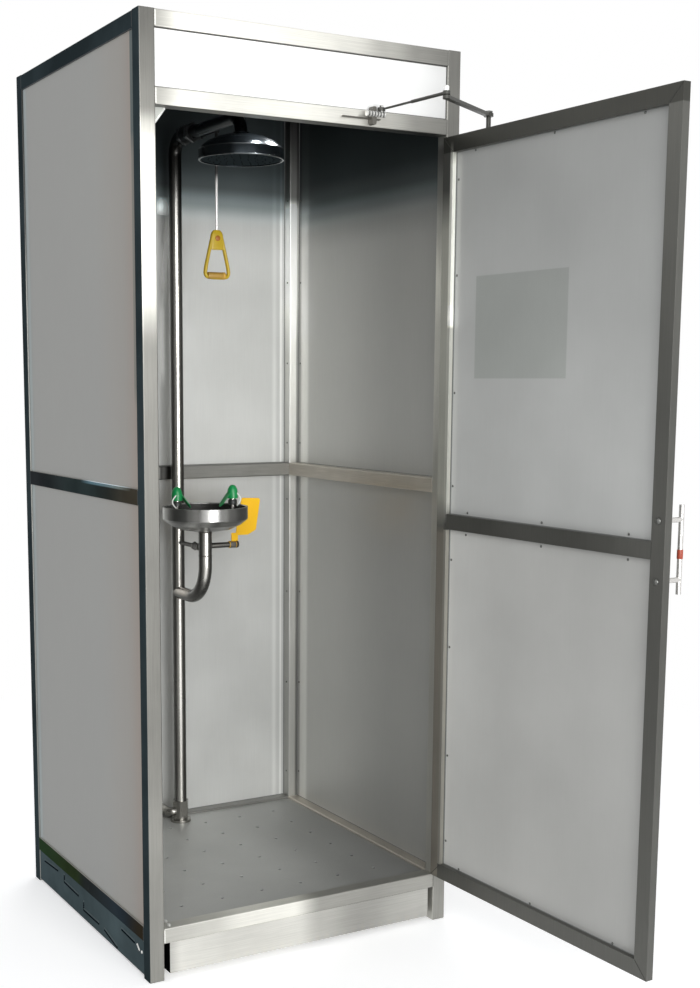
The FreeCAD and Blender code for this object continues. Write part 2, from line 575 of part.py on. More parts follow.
# Shares of the bowl's radius and of its dish's depth, from the foot outward
BOWL_DISH = [("bowl_radius * 0.62", "bowl_dish * 0.2"), ("bowl_radius * 0.84", "bowl_dish * 0.55")]
node("eyewash_bowl", turned("eyewash_bowl", [
    ("0", "0"), ("bowl_foot", "0"), *BOWL_DISH, ("bowl_radius * 0.96", "bowl_dish * 0.86"),
    ("bowl_radius", "bowl_dish"), ("bowl_radius", "bowl_dish + bowl_band"),
    ("bowl_radius - bowl_wall", "bowl_dish + bowl_band"), ("bowl_radius - bowl_wall", "bowl_dish + bowl_wall / 2"),
    *[(out + " - bowl_wall / 3", up + " + bowl_wall") for out, up in reversed(BOWL_DISH)],
    ("bowl_foot", "bowl_wall"), ("0", "bowl_wall")],
    CX, BOWL_Y, "bowl_low"))
column = rod("riser_column", "riser_post", "riser_bar - bowl_low - bowl_wall", CX, BOWL_Y, "bowl_low + bowl_wall")
bar = rod("riser_cross", "riser_radius", "2 * riser_spread", CX + " - riser_spread", BOWL_Y, "riser_bar", "x")
risers = [rod("riser_" + side, "riser_wide", "riser_high - riser_bar + riser_radius", CX + " " + sign + " riser_spread",
              BOWL_Y, "riser_bar - riser_radius") for side, sign in (("left", "-"), ("right", "+"))]
node("spray_manifold", join("spray_manifold_joined", [column, bar, *risers]))
# Shares of a cap's radius and height, upward, and of a flap's length and half width, outward
CAP_DOME = [(1, 0), (1, 0.42), (0.88, 0.68), (0.62, 0.88), (0.3, 0.98)]
FLAP_SIDE = [("0", 0.6), ("flap_long * 0.4", 1), ("flap_long", 0.9), ("flap_long + flap_radius", 0.3)]
for side, sign, way in (("left", "-", "flap_lean"), ("right", "+", "180 - flap_lean")):
    cap_x = CX + " " + sign + " riser_spread"
    dome = turned("dust_cap_%s_dome" % side, [
        ("0", "0"), *[("cap_radius * %s" % out, "cap_tall * %s" % up) for out, up in CAP_DOME], ("0", "cap_tall")],
        cap_x, BOWL_Y, "riser_high")
    flap_body = new_body("flap_%s_body" % side)
    flap_sketch = sketch_on(flap_body, "XY_Plane", "flap_%s_outline" % side)
    draw_loop(flap_sketch, [(out, "0 - flap_radius * %s" % half) for out, half in FLAP_SIDE]
              + [(out, "flap_radius * %s" % half) for out, half in reversed(FLAP_SIDE)])
    pad_of(flap_body, flap_sketch, "flap_thick", "flap_%s_pad" % side, middle=True)
    flap_body.Placement = FreeCAD.Placement(FreeCAD.Vector(), FreeCAD.Rotation(FreeCAD.Vector(0, 1, 0), QUARTER))
    place(flap_body, cap_x, BOWL_Y, "riser_high + cap_tall - flap_drop")
    bind(flap_body, "Placement.Rotation.Angle", way)
    node("dust_cap_" + side, join("dust_cap_%s_joined" % side, [dome, flap_body]))

# Drain from under the bowl, bent back into the standpipe
down = rod("drain_down", "drain_radius", "drain_straight", CX, BOWL_Y, "drain_height + drain_bend")
sweep = bend("drain_bend_piece", "drain_bend", "drain_radius", CX, BOWL_Y + " + drain_bend", "drain_height + drain_bend",
             TURN_LOW_FRONT)
back_run = rod("drain_run", "drain_radius", "bowl_out - drain_bend", CX, BOWL_Y + " + drain_bend", "drain_height", "y")
keep_out = rod("drain_keep_out", "pipe_radius", "4 * drain_radius", CX, PIPE_Y, "drain_height - 2 * drain_radius")
node("eyewash_drain", cut("eyewash_drain_cut", join("eyewash_drain_joined", [down, sweep, back_run]), keep_out))

# Eyewash supply branch from standpipe to drain head, with the valve block and the arm that carries the flag
BRANCH_Y = BY + " + branch_y"
feed = rod("branch_feed", "branch_radius", "bowl_out", CX, BOWL_Y, "branch_height", "y")
block = rod("branch_block_piece", "branch_block", "2 * branch_half", CX, BRANCH_Y + " - branch_half", "branch_height", "y")
reach = rod("branch_reach_piece", "branch_arm", "branch_reach", CX, BRANCH_Y, "branch_height", "x")
pin = rod("branch_pin", "flag_pin", "branch_reach + flag_pin_reach", CX, BRANCH_Y, "branch_height", "x")
clear_pipe = rod("branch_clear_pipe", "pipe_radius", "4 * branch_radius", CX, PIPE_Y, "branch_height - 2 * branch_radius")
clear_drain = rod("branch_clear_drain", "drain_radius", "4 * branch_radius", CX, BOWL_Y, "branch_height - 2 * branch_radius")
node("eyewash_branch", cut("eyewash_branch_cut", join("eyewash_branch_joined", [feed, block, reach, pin]),
                           join("branch_clear", [clear_pipe, clear_drain])))

# Push flag on the end of the valve arm
FLAG_X = CX + " + branch_reach + side_play"
hub = rod("flag_hub_piece", "flag_hub", "flag_hub_long", FLAG_X, BRANCH_Y, "branch_height", "x")
flag_body = new_body("flag_body")
flag_sketch = sketch_on(flag_body, "XZ_Plane", "flag_outline")
draw_loop(flag_sketch, [
    ("flag_foot_left", "flag_foot"), ("flag_foot_right", "flag_foot"), ("flag_side", "flag_side_rise"),
    ("flag_width", "flag_tall - flag_thick"), ("flag_top_left", "flag_tall"),
    ("flag_foot_left + flag_thick", "flag_waist")])
flag_pad = pad_of(flag_body, flag_sketch, "flag_thick", "flag_pad", middle=True)
rounded(flag_body, flag_pad, "flag_round", "flag_corners")
place(flag_body, FLAG_X, BRANCH_Y, "branch_height")
tab = box("flag_tab", "flag_hub_long", "flag_thick", "flag_foot + flag_tab_seat - flag_tab_low",
          FLAG_X + " + flag_tab_left", BRANCH_Y + " - flag_thick / 2", "branch_height + flag_tab_low")
hub_hole = rod("flag_hole", "flag_pin + pivot_play", "flag_hub_long", FLAG_X, BRANCH_Y, "branch_height", "x")
node("push_flag", cut("push_flag_cut", join("push_flag_joined", [hub, flag_body, tab]), hub_hole))

# Door, drawn closed about its hinge line and then swung open
HX = BX + " + hinge_x"
HY = BY + " - hinge_out"


def swing(name, item):
    """Carry a piece drawn about the hinge line to its open place."""
    item.Placement = FreeCAD.Placement(FreeCAD.Vector(), FreeCAD.Rotation(FreeCAD.Vector(0, 0, 1), QUARTER))
    place(item, HX, HY, "0")
    bind(item, "Placement.Rotation.Angle", "door_open")
    return node(name, item)


# Leaf of rectangular tube, hollow all round, with a mid rail
DL = "door_left - hinge_x"
DY = "door_face + hinge_out"
WIDE = "door_right - door_left"
GAP_X = DL + " + tube_size"
GAP_LX = WIDE + " - 2 * tube_size"
UP_LOW = "door_mid_low + tube_size"
UP_TALL = "door_high - door_mid_low - 2 * tube_size"
LOW_LOW = "door_low + tube_size"
LOW_TALL = "door_mid_low - door_low - tube_size"
leaf = box("leaf_outer", WIDE, "door_thick", "door_high - door_low", DL, DY, "door_low")
spaces = [box("leaf_upper_space", GAP_LX, "door_thick", UP_TALL, GAP_X, DY, UP_LOW),
          box("leaf_lower_space", GAP_LX, "door_thick", LOW_TALL, GAP_X, DY, LOW_LOW)]
VOID_LX = "tube_size - 2 * door_wall"
VOID_Y = DY + " + door_wall"
VOID_LY = "door_thick - 2 * door_wall"
voids = [box("leaf_void_" + name, lx, VOID_LY, lz, px, VOID_Y, pz) for name, lx, lz, px, pz in (
    ("free_stile", VOID_LX, "door_high - door_low - 2 * door_wall", DL + " + door_wall", "door_low + door_wall"),
    ("hinge_stile", VOID_LX, "door_high - door_low - 2 * door_wall", DL + " + " + WIDE + " - tube_size + door_wall",
     "door_low + door_wall"),
    ("top_rail", WIDE + " - 2 * door_wall", VOID_LX, DL + " + door_wall", "door_high - tube_size + door_wall"),
    ("mid_rail", WIDE + " - 2 * door_wall", VOID_LX, DL + " + door_wall", "door_mid_low + door_wall"),
    ("low_rail", WIDE + " - 2 * door_wall", VOID_LX, DL + " + door_wall", "door_low + door_wall"))]
swing("door_frame", cut("door_frame_cut", leaf, join("leaf_spaces", spaces + voids)))
for part, low, tall in (("upper", UP_LOW, UP_TALL), ("lower", LOW_LOW, LOW_TALL)):
    body = new_body("door_panel_%s_body" % part)
    outline = sketch_on(body, "XZ_Plane", "door_panel_%s_outline" % part)
    ends = GAP_X + " + " + GAP_LX
    draw_loop(outline, [(GAP_X, low), (ends, low), (ends, low + " + " + tall), (GAP_X, low + " + " + tall)])
    bind(outline, "AttachmentOffset.Base.z", "0 - (" + DY + " + door_panel_inset)")
    pad_of(body, outline, "door_panel_thick", "door_panel_%s_pad" % part, back=True)
    swing("door_panel_" + part, body)
GX = DL + " + pull_side"
GY = DY + " - pull_out"
grip_bar = rod("pull_bar", "pull_radius", "pull_long", GX, GY, "pull_low")
low_post = rod("pull_low_post", "pull_radius", "pull_out", GX, GY, "pull_low + pull_bolt", "y")
high_post = rod("pull_high_post", "pull_radius", "pull_out", GX, GY, "pull_low + pull_long - pull_bolt", "y")
swing("door_handle", join("door_handle_joined", [grip_bar, low_post, high_post]))

# Two butt hinges: a fixed plate with knuckle and pin on the post, a moving leaf with knuckle on the door
for which, low in (("lower", "(door_low + hinge_rise)"), ("upper", "(door_high - hinge_drop)")):
    high = low + " + knuckle_long + knuckle_gap"
    fixed_plate = box("hinge_plate_%s_leaf" % which, "hinge_leaf_width", "hinge_leaf_thick", "knuckle_long",
                      HX + " + hinge_leaf_thick", BY + " - hinge_leaf_thick", low)
    fixed_knuckle = rod("hinge_plate_%s_knuckle" % which, "knuckle_radius", "knuckle_long", HX, HY, low)
    fixed_pin = rod("hinge_plate_%s_pin" % which, "hinge_pin", "2 * knuckle_long + knuckle_gap", HX, HY, low)
    node("hinge_plate_" + which, join("hinge_plate_%s_joined" % which, [fixed_plate, fixed_knuckle, fixed_pin]))
    moving_plate = box("hinge_leaf_%s_leaf" % which, "hinge_leaf_width", "hinge_leaf_thick", "knuckle_long",
                       "0 - hinge_web - post_play - hinge_leaf_width", DY + " - hinge_leaf_thick", high)
    moving_web = box("hinge_leaf_%s_web" % which, "hinge_web + hinge_leaf_thick", "hinge_leaf_thick", "knuckle_long",
                     "0 - hinge_web - hinge_leaf_thick", DY + " - hinge_leaf_thick - hinge_inset", high)
    moving_knuckle = rod("hinge_leaf_%s_knuckle" % which, "knuckle_radius", "knuckle_long", "0", "0", high)
    pin_space = rod("hinge_leaf_%s_space" % which, "hinge_pin + pivot_play", "knuckle_long", "0", "0", high)
    swing("hinge_leaf_" + which, cut("hinge_leaf_%s_cut" % which,
                                     join("hinge_leaf_%s_joined" % which, [moving_plate, moving_web, moving_knuckle]),
                                     pin_space))

# Door closer: body and spindle on the door, main arm on the spindle, forearm on the shoe's pin
case_body = new_body("closer_case_body")
case_sketch = sketch_on(case_body, "XZ_Plane", "closer_case_outline")
CASE_END = "0 - hinge_side - closer_right"
draw_loop(case_sketch, [(CASE_END + " - closer_long", "closer_low"), (CASE_END, "closer_low"),
                        (CASE_END, "closer_low + closer_tall"), (CASE_END + " - closer_long", "closer_low + closer_tall")])
bind(case_sketch, "AttachmentOffset.Base.z", "0 - (" + DY + ")")
case_pad = pad_of(case_body, case_sketch, "closer_deep", "closer_case_pad")
rounded(case_body, case_pad, "closer_round", "closer_case_round")
spindle = rod("closer_spindle", "spindle_radius", "arm_low + arm_thick + spindle_over - closer_low - closer_tall + spindle_sunk",
              "spindle_x", "spindle_y", "closer_low + closer_tall - spindle_sunk")
swing("closer_body", join("closer_body_joined", [case_body, spindle]))

# Where the spindle and the shoe's pin stand, and how far apart
SPIN_X = "(spindle_x * cos(door_open * 1deg) - spindle_y * sin(door_open * 1deg))"
SPIN_Y = "(spindle_x * sin(door_open * 1deg) + spindle_y * cos(door_open * 1deg) - hinge_out)"
AWAY_X = "(0 - shoe_out - " + SPIN_X + ")"
AWAY_Y = "(shoe_y - " + SPIN_Y + ")"
AWAY = "sqrt(" + AWAY_X + "^2 + " + AWAY_Y + "^2)"
# Angle at one end of the triangle of main arm, forearm and that distance
OPENING = "acos((%s^2 + " + AWAY + "^2 - %s^2) / (2 * %s * " + AWAY + "))"
DOWNWARD = FreeCAD.Vector(0, 0, -1)


def link_hole(name, radius, thick):
    return rod(name + "_hole", radius, thick, "0", "0", "0")


arm_bar = box("closer_arm_bar", "arm_length", "2 * arm_half", "arm_thick", "0", "0 - arm_half", "0")
arm_eye = rod("closer_arm_eye", "arm_eye", "arm_thick", "0", "0", "0")
arm_end = rod("closer_arm_end", "elbow_half", "arm_thick", "arm_length", "0", "0")
main_arm = cut("closer_arm_cut", join("closer_arm_joined", [arm_bar, arm_eye, arm_end]),
               link_hole("closer_arm", "spindle_radius + pivot_play", "arm_thick"))
main_arm.Placement = FreeCAD.Placement(FreeCAD.Vector(), FreeCAD.Rotation(DOWNWARD, QUARTER))
place(main_arm, HX + " + " + SPIN_X, BY + " + " + SPIN_Y, "arm_low")
bind(main_arm, "Placement.Rotation.Angle",
     "360deg - atan2(" + AWAY_Y + "; " + AWAY_X + ") - " + OPENING % ("arm_length", "fore_length", "arm_length"))
node("closer_arm", main_arm)

# The forearm is a screwed rod in a sleeve, with an eye on the pin and a round head at the elbow
fore_mid = "fore_thick / 2"
fore_eye = rod("closer_fore_eye", "fore_eye", "fore_thick", "0", "0", "0")
fore_rod = rod("closer_fore_rod", "fore_rod", "fore_length", "0", "0", fore_mid, "x")
fore_sleeve = rod("closer_fore_sleeve", "fore_sleeve", "fore_sleeve_long", "fore_length - fore_sleeve_long", "0", fore_mid, "x")
fore_head = rod("closer_fore_head", "elbow_half", "fore_thick", "fore_length", "0", "0")
fore_arm = cut("closer_fore_cut", join("closer_fore_joined", [fore_eye, fore_rod, fore_sleeve, fore_head]),
               link_hole("closer_fore", "shoe_pin + pivot_play", "fore_thick"))
fore_arm.Placement = FreeCAD.Placement(FreeCAD.Vector(), FreeCAD.Rotation(DOWNWARD, QUARTER))
place(fore_arm, BX + " + shoe_x", BY + " + shoe_y", "fore_low")
bind(fore_arm, "Placement.Rotation.Angle",
     "0deg - atan2(0 - " + AWAY_Y + "; 0 - " + AWAY_X + ") + " + OPENING % ("fore_length", "arm_length", "fore_length"))
node("closer_forearm", fore_arm)
SHOE_BLOCK_LOW = "shoe_low + shoe_foot"
shoe_plate = box("shoe_plate", "shoe_long", "shoe_thick", "shoe_tall", BX + " + shoe_x - shoe_side", BY + " - shoe_thick",
                 "shoe_low")
shoe_knob = box("shoe_knob", "shoe_barrel + shoe_block", "shoe_block - shoe_y", "fore_low - arm_play - (" + SHOE_BLOCK_LOW + ")",
                BX + " + shoe_x - shoe_barrel", BY + " + shoe_y - shoe_block", SHOE_BLOCK_LOW)
shoe_peg = rod("shoe_peg", "shoe_pin", "fore_low + fore_thick + pin_over - (" + SHOE_BLOCK_LOW + ")", BX + " + shoe_x",
               BY + " + shoe_y", SHOE_BLOCK_LOW)
node("closer_shoe", join("closer_shoe_joined", [shoe_plate, shoe_knob, shoe_peg]))

# Check every object and shape, then write one file for each piece
doc.recompute()
for item in doc.Objects:
    if "Invalid" in item.State or "Error" in item.State:
        raise RuntimeError("bad state: %s %s" % (item.Name, item.State))
for name, item in nodes:
    shape = item.Shape
    if shape.isNull() or not shape.isValid():
        raise RuntimeError("bad shape: " + name)
    if len(shape.Solids) != 1:
        raise RuntimeError("not one solid: %s has %d" % (name, len(shape.Solids)))
for name, item in nodes:
    item.Shape.exportStep("parts/%s.step" % name)
print("pieces", len(nodes))
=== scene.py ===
import json
import math

import bpy
import numpy as np
from mathutils import Matrix, Vector


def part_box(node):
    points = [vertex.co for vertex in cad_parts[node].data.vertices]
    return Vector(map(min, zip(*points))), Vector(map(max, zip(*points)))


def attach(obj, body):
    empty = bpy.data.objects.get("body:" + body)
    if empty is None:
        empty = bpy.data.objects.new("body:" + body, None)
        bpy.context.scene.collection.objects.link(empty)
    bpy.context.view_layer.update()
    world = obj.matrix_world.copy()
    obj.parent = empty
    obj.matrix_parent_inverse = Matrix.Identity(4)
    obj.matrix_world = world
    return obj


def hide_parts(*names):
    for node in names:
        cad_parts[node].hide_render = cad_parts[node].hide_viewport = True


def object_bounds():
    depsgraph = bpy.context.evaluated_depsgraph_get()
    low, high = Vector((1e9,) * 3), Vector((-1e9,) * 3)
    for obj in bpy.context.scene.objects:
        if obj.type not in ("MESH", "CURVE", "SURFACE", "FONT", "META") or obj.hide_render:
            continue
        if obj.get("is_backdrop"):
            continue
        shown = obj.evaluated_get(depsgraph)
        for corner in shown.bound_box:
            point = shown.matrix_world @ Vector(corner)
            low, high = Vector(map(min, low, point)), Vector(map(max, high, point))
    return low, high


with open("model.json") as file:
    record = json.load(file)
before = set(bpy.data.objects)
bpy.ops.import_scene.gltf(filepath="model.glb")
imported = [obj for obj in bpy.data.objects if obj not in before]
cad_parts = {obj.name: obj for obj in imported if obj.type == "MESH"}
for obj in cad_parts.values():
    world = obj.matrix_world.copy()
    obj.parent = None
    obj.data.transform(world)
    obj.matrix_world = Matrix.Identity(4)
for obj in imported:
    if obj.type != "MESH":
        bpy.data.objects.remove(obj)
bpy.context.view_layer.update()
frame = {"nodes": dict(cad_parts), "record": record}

cad_nodes = frame["nodes"]

# Camera
# It stands outside to the left of the doorway at eye height and looks a little down.
camera_data = bpy.data.cameras.new("view")
camera_data.lens = 50.28
camera_data.sensor_width = 36
camera_data.shift_x = 0.0695
camera_data.shift_y = 0.0886
camera = bpy.data.objects.new("view", camera_data)
turn = Matrix.Rotation(math.radians(-29.065), 3, "Z")
tilt = Matrix.Rotation(math.radians(90 - 8.282), 3, "X")
roll = Matrix.Rotation(math.radians(0.114), 3, "Z")
camera.rotation_euler = (turn @ tilt @ roll).to_euler()
camera.location = (-1.7769, -3.0418, 1.4959)
bpy.context.scene.collection.objects.link(camera)
bpy.context.scene.camera = camera
bpy.context.scene.view_settings.view_transform = "Standard"

# Studio
# A plain pale floor that ends in white, white surroundings for the eye and for mirror-like surfaces, and a
# soft grey fill for the rest. There are four broad lamps, one of them low before the doorway so that it
# reaches the back wall, and two small spots for the glints on the shower head.


def tone(red, green, blue):
    """A colour as it shows on a screen, 0 to 255 a channel, as the linear colour that a shader takes."""
    share = np.array([red, green, blue], float) / 255
    linear = np.where(share <= 0.04045, share / 12.92, ((share + 0.055) / 1.055) ** 2.4)
    return (*(float(value) for value in linear), 1.0)


def add(tree, kind, **inputs):
    """A new shader node whose named or numbered inputs are values or links."""
    made = tree.nodes.new(kind)
    for key, value in inputs.items():
        numbered = key[0] == "i" and key[1:].isdigit()
        socket = made.inputs[int(key[1:])] if numbered else made.inputs[key.replace("_", " ")]
        if isinstance(value, bpy.types.NodeSocket):
            tree.links.new(value, socket)
        else:
            socket.default_value = value
    return made


def seen_rays(tree):
    """One for rays from the eye and from mirror-like or clear surfaces, nought for the rest."""
    path = add(tree, "ShaderNodeLightPath")
    first = add(tree, "ShaderNodeMath", i0=path.outputs["Is Camera Ray"], i1=path.outputs["Is Glossy Ray"])
    first.operation = "MAXIMUM"
    both = add(tree, "ShaderNodeMath", i0=first.outputs[0], i1=path.outputs["Is Transmission Ray"])
    both.operation = "MAXIMUM"
    return both.outputs[0]


def hang(name, kind, power, place, aim):
    """A lamp of one kind and power, hung at a place and turned towards its aim."""
    lamp = bpy.data.lights.new(name, kind)
    lamp.energy = power
    item = bpy.data.objects.new(name, lamp)
    item.location = place
    item.rotation_euler = (Vector(aim) - Vector(place)).to_track_quat("-Z", "Y").to_euler()
    bpy.context.scene.collection.objects.link(item)
    return lamp


WHITE = (1.0, 1.0, 1.0, 1.0)
FLOOR_NEAR, FLOOR_FAR = 1.3, 3.2  # distances from the middle between which the floor fades into white
world = bpy.data.worlds.new("studio")
bpy.context.scene.world = world
world.use_nodes = True
tree = world.node_tree
tree.nodes.clear()
fill = add(tree, "ShaderNodeBackground", Color=(0.95, 0.97, 1.0, 1.0), Strength=0.5)
white = add(tree, "ShaderNodeBackground", Color=WHITE, Strength=1.0)
mixed = add(tree, "ShaderNodeMixShader", i0=seen_rays(tree), i1=fill.outputs[0], i2=white.outputs[0])
tree.links.new(mixed.outputs[0], add(tree, "ShaderNodeOutputWorld").inputs["Surface"])

bpy.ops.mesh.primitive_plane_add(size=60, location=(0, 0, -0.001))
floor = bpy.context.object
floor.name = "studio_floor"
floor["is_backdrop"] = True
material = bpy.data.materials.new("studio_floor")
material.use_nodes = True
tree = material.node_tree
tree.nodes.clear()
spot = add(tree, "ShaderNodeTexCoord").outputs["Object"]
away = add(tree, "ShaderNodeVectorMath", i0=spot)
away.operation = "LENGTH"
fade = add(tree, "ShaderNodeMapRange", Value=away.outputs["Value"], From_Min=FLOOR_NEAR, From_Max=FLOOR_FAR)
outer = add(tree, "ShaderNodeMath", i0=fade.outputs[0], i1=seen_rays(tree))
outer.operation = "MULTIPLY"
matt = add(tree, "ShaderNodeBsdfDiffuse", Color=(0.85, 0.85, 0.85, 1.0))
glow = add(tree, "ShaderNodeEmission", Color=WHITE, Strength=0.38)
seen = add(tree, "ShaderNodeMixShader", i0=seen_rays(tree), i2=glow.outputs[0])
near = add(tree, "ShaderNodeAddShader", i0=matt.outputs[0], i1=seen.outputs[0])
plain = add(tree, "ShaderNodeEmission", Color=WHITE, Strength=1.0)
whole = add(tree, "ShaderNodeMixShader", i0=outer.outputs[0], i1=near.outputs[0], i2=plain.outputs[0])
tree.links.new(whole.outputs[0], add(tree, "ShaderNodeOutputMaterial").inputs["Surface"])
floor.data.materials.append(material)

for name, place, aim, size, power in (
        ("key_lamp", (-2.6, -4.2, 3.2), (0.0, 0.2, 1.1), 2.6, 85),
        ("front_lamp", (-0.2, -4.4, 1.3), (0.05, 0.5, 1.0), 2.0, 122),
        ("left_lamp", (-4.2, 0.2, 2.2), (-0.4, 0.4, 1.1), 2.6, 20),
        ("back_lamp", (2.2, 3.6, 3.0), (0.0, 0.4, 1.2), 2.6, 60)):
    hang(name, "AREA", power, place, aim).size = size
SPOT_POWER = 14
for name, place, aim in (("head_spot_left", (0.044, 0.2085, 2.29), (-0.0293, 0.2445, 2.111)),
                         ("head_spot_right", (0.146, 0.2975, 2.24), (0.013, 0.2495, 2.1115))):
    lamp = hang(name, "SPOT", SPOT_POWER, place, aim)
    lamp.spot_size = 0.5
    lamp.spot_blend = 0.6
    lamp.shadow_soft_size = 0.035

# Frame tubes
# Square stainless tube, brushed along its length and welded at the corners. The outer faces towards the left
# carry a painted dark reflection, the front faces are polished, and painted light and shade run along the
# tubes;
# the weld seams are ground nearly flush.


def mix(tree, kind, amount, first, second):
    """Two colours mixed, multiplied or otherwise joined by an amount."""
    made = tree.nodes.new("ShaderNodeMix")
    made.data_type = "RGBA"
    made.blend_type = kind
    for socket, value in ((made.inputs[0], amount), (made.inputs[6], first), (made.inputs[7], second)):
        if isinstance(value, bpy.types.NodeSocket):
            tree.links.new(value, socket)
        else:
            socket.default_value = value
    return made.outputs[2]


def ramp(tree, value, low, high, stops, smooth=True):
    """A grey or colour that follows a value from low to high, through the stops; a grey may pass one."""
    top = max([1.0] + [colour for place, colour in stops if not isinstance(colour, tuple)])
    ranged = add(tree, "ShaderNodeMapRange", Value=value, From_Min=low, From_Max=high)
    made = add(tree, "ShaderNodeValToRGB", Fac=ranged.outputs[0])
    made.color_ramp.interpolation = "EASE" if smooth else "LINEAR"
    elements = made.color_ramp.elements
    while len(elements) < len(stops):
        elements.new(0.5)
    for element, (place, colour) in zip(elements, stops):
        element.position = (place - low) / (high - low)
        element.color = colour if isinstance(colour, tuple) else (colour / top, colour / top, colour / top,
                                                                  1.0)
    return made.outputs[0] if top == 1.0 else mix(tree, "MULTIPLY", 1.0, made.outputs[0],
                                                  (top, top, top, 1.0))


def finish_of(name, colour, along="z", grain=0.10, cloud=0.10, rough=0.38, metal=0.75, bump=0.12,
              shades=(), side=None, streak=None, patches=(), shine=0.5):
    """A worked metal or painted surface.

    Fine noise drawn out along one axis is the grain, wide noise is the cloudiness of handling, both over
    colour and roughness; shades darken or lighten along an axis, mostly as painted light and shade; side
    paints the faces towards low X dark, with lighter flecks and no metal or specular gloss, as a painted dark
    reflection on the frame and skirt and as painted shade on the tray, in one colour or several along Y;
    streak is painted light and shade, lightening or darkening a face by how it is turned to a direction;
    patches tint boxes, the painted side colour in them too; shine is how much a bare face mirrors."""
    made = bpy.data.materials.new(name)
    made.use_nodes = True
    tree = made.node_tree
    tree.nodes.clear()
    coord = add(tree, "ShaderNodeTexCoord")
    spot = coord.outputs["Object"]
    stretch = {"x": (9, 900, 900), "y": (900, 9, 900), "z": (900, 900, 9), "": (420, 420, 420)}[along]
    fine = add(tree, "ShaderNodeMapping", Vector=spot, Scale=stretch)
    lines = add(tree, "ShaderNodeTexNoise", Vector=fine.outputs[0], Scale=1.0, Detail=3.0, Roughness=0.6)
    wide = add(tree, "ShaderNodeTexNoise", Vector=spot, Scale=3.2, Detail=4.0, Roughness=0.55)
    base = mix(tree, "MULTIPLY", 1.0, tone(*colour),
               ramp(tree, lines.outputs["Fac"], 0.3, 0.7, [(0.3, 1 - grain), (0.7, 1 + grain)], False))
    base = mix(tree, "MULTIPLY", 1.0, base,
               ramp(tree, wide.outputs["Fac"], 0.3, 0.7, [(0.3, 1 - cloud), (0.7, 1 + cloud)], False))
    parts = add(tree, "ShaderNodeSeparateXYZ", Vector=spot)
    for axis, stops in shades:
        base = mix(tree, "MULTIPLY", 1.0, base,
                   ramp(tree, parts.outputs["XYZ".index(axis)], stops[0][0], stops[-1][0], stops))
    # Painted light and shade: a face is lightened or darkened by how it is turned to a direction.
    if streak is not None:
        towards, stops = streak
        facing = add(tree, "ShaderNodeVectorMath", i0=coord.outputs["Normal"], i1=towards)
        facing.operation = "DOT_PRODUCT"
        base = mix(tree, "MULTIPLY", 1.0, base,
                   ramp(tree, facing.outputs["Value"], stops[0][0], stops[-1][0], stops))
    # The faces towards low X are painted dark, with lighter flecks and no metal or specular gloss: painted
    # dark reflection or painted shade.
    if side is not None:
        facing = add(tree, "ShaderNodeSeparateXYZ", Vector=coord.outputs["Normal"])
        share = add(tree, "ShaderNodeMapRange", Value=facing.outputs[0], From_Min=-0.5, From_Max=-0.8)
        flecks = add(tree, "ShaderNodeTexNoise", Vector=spot, Scale=22.0, Detail=6.0, Roughness=0.7)
        painted_side_tone = tone(*side) if isinstance(side, tuple) else ramp(
            tree, parts.outputs["Y"], side[0][0], side[-1][0],
            [(place, tone(*colour)) for place, colour in side])
        dark = mix(tree, "MULTIPLY", 1.0, painted_side_tone,
                   ramp(tree, wide.outputs["Fac"], 0.35, 0.65, [(0.35, 0.7), (0.65, 1.3)], False))
        flecked = ramp(tree, flecks.outputs["Fac"], 0.62, 0.76, [(0.62, 0.0), (0.76, 0.14)], False)
        dark = mix(tree, "MIX", flecked, dark, tone(90, 100, 100))
        base = mix(tree, "MIX", share.outputs[0], base, dark)
        bare = add(tree, "ShaderNodeMapRange", Value=share.outputs[0], To_Min=metal, To_Max=0.0)
        metal = bare.outputs[0]
    for tint, limits in patches:
        inside = 1.0
        for axis, low, high, *blur in limits:
            middle = add(tree, "ShaderNodeMath", i0=parts.outputs["XYZ".index(axis)], i1=(low + high) / 2)
            middle.operation = "SUBTRACT"
            apart = add(tree, "ShaderNodeMath", i0=middle.outputs[0])
            apart.operation = "ABSOLUTE"
            soft = blur[0] if blur else 0.001
            within = add(tree, "ShaderNodeMapRange", Value=apart.outputs[0], From_Min=(high - low) / 2 + soft,
                         From_Max=(high - low) / 2 - soft)
            both = add(tree, "ShaderNodeMath", i0=within.outputs[0], i1=inside)
            both.operation = "MULTIPLY"
            inside = both.outputs[0]
        base = mix(tree, "MIX", inside, base, mix(tree, "MULTIPLY", 1.0, base, tint))
    dull = add(tree, "ShaderNodeMapRange", Value=wide.outputs["Fac"], From_Min=0.3, From_Max=0.7,
               To_Min=max(rough - 0.08, 0.05), To_Max=rough + 0.08)
    softened = add(tree, "ShaderNodeBevel", Radius=0.0012)
    softened.samples = 4
    raised = add(tree, "ShaderNodeBump", Strength=bump, Distance=0.0004, Height=lines.outputs["Fac"],
                 Normal=softened.outputs[0])
    shader = add(tree, "ShaderNodeBsdfPrincipled", Base_Color=base, Metallic=metal, Roughness=dull.outputs[0],
                 Normal=raised.outputs[0], Specular_IOR_Level=shine if side is None else 0.0)
    tree.links.new(shader.outputs[0], add(tree, "ShaderNodeOutputMaterial").inputs["Surface"])
    return made


def dress(material, *names):
    """Give CAD nodes a material."""
    for name in names:
        for place in cad_nodes[name].material_slots:
            place.material = material


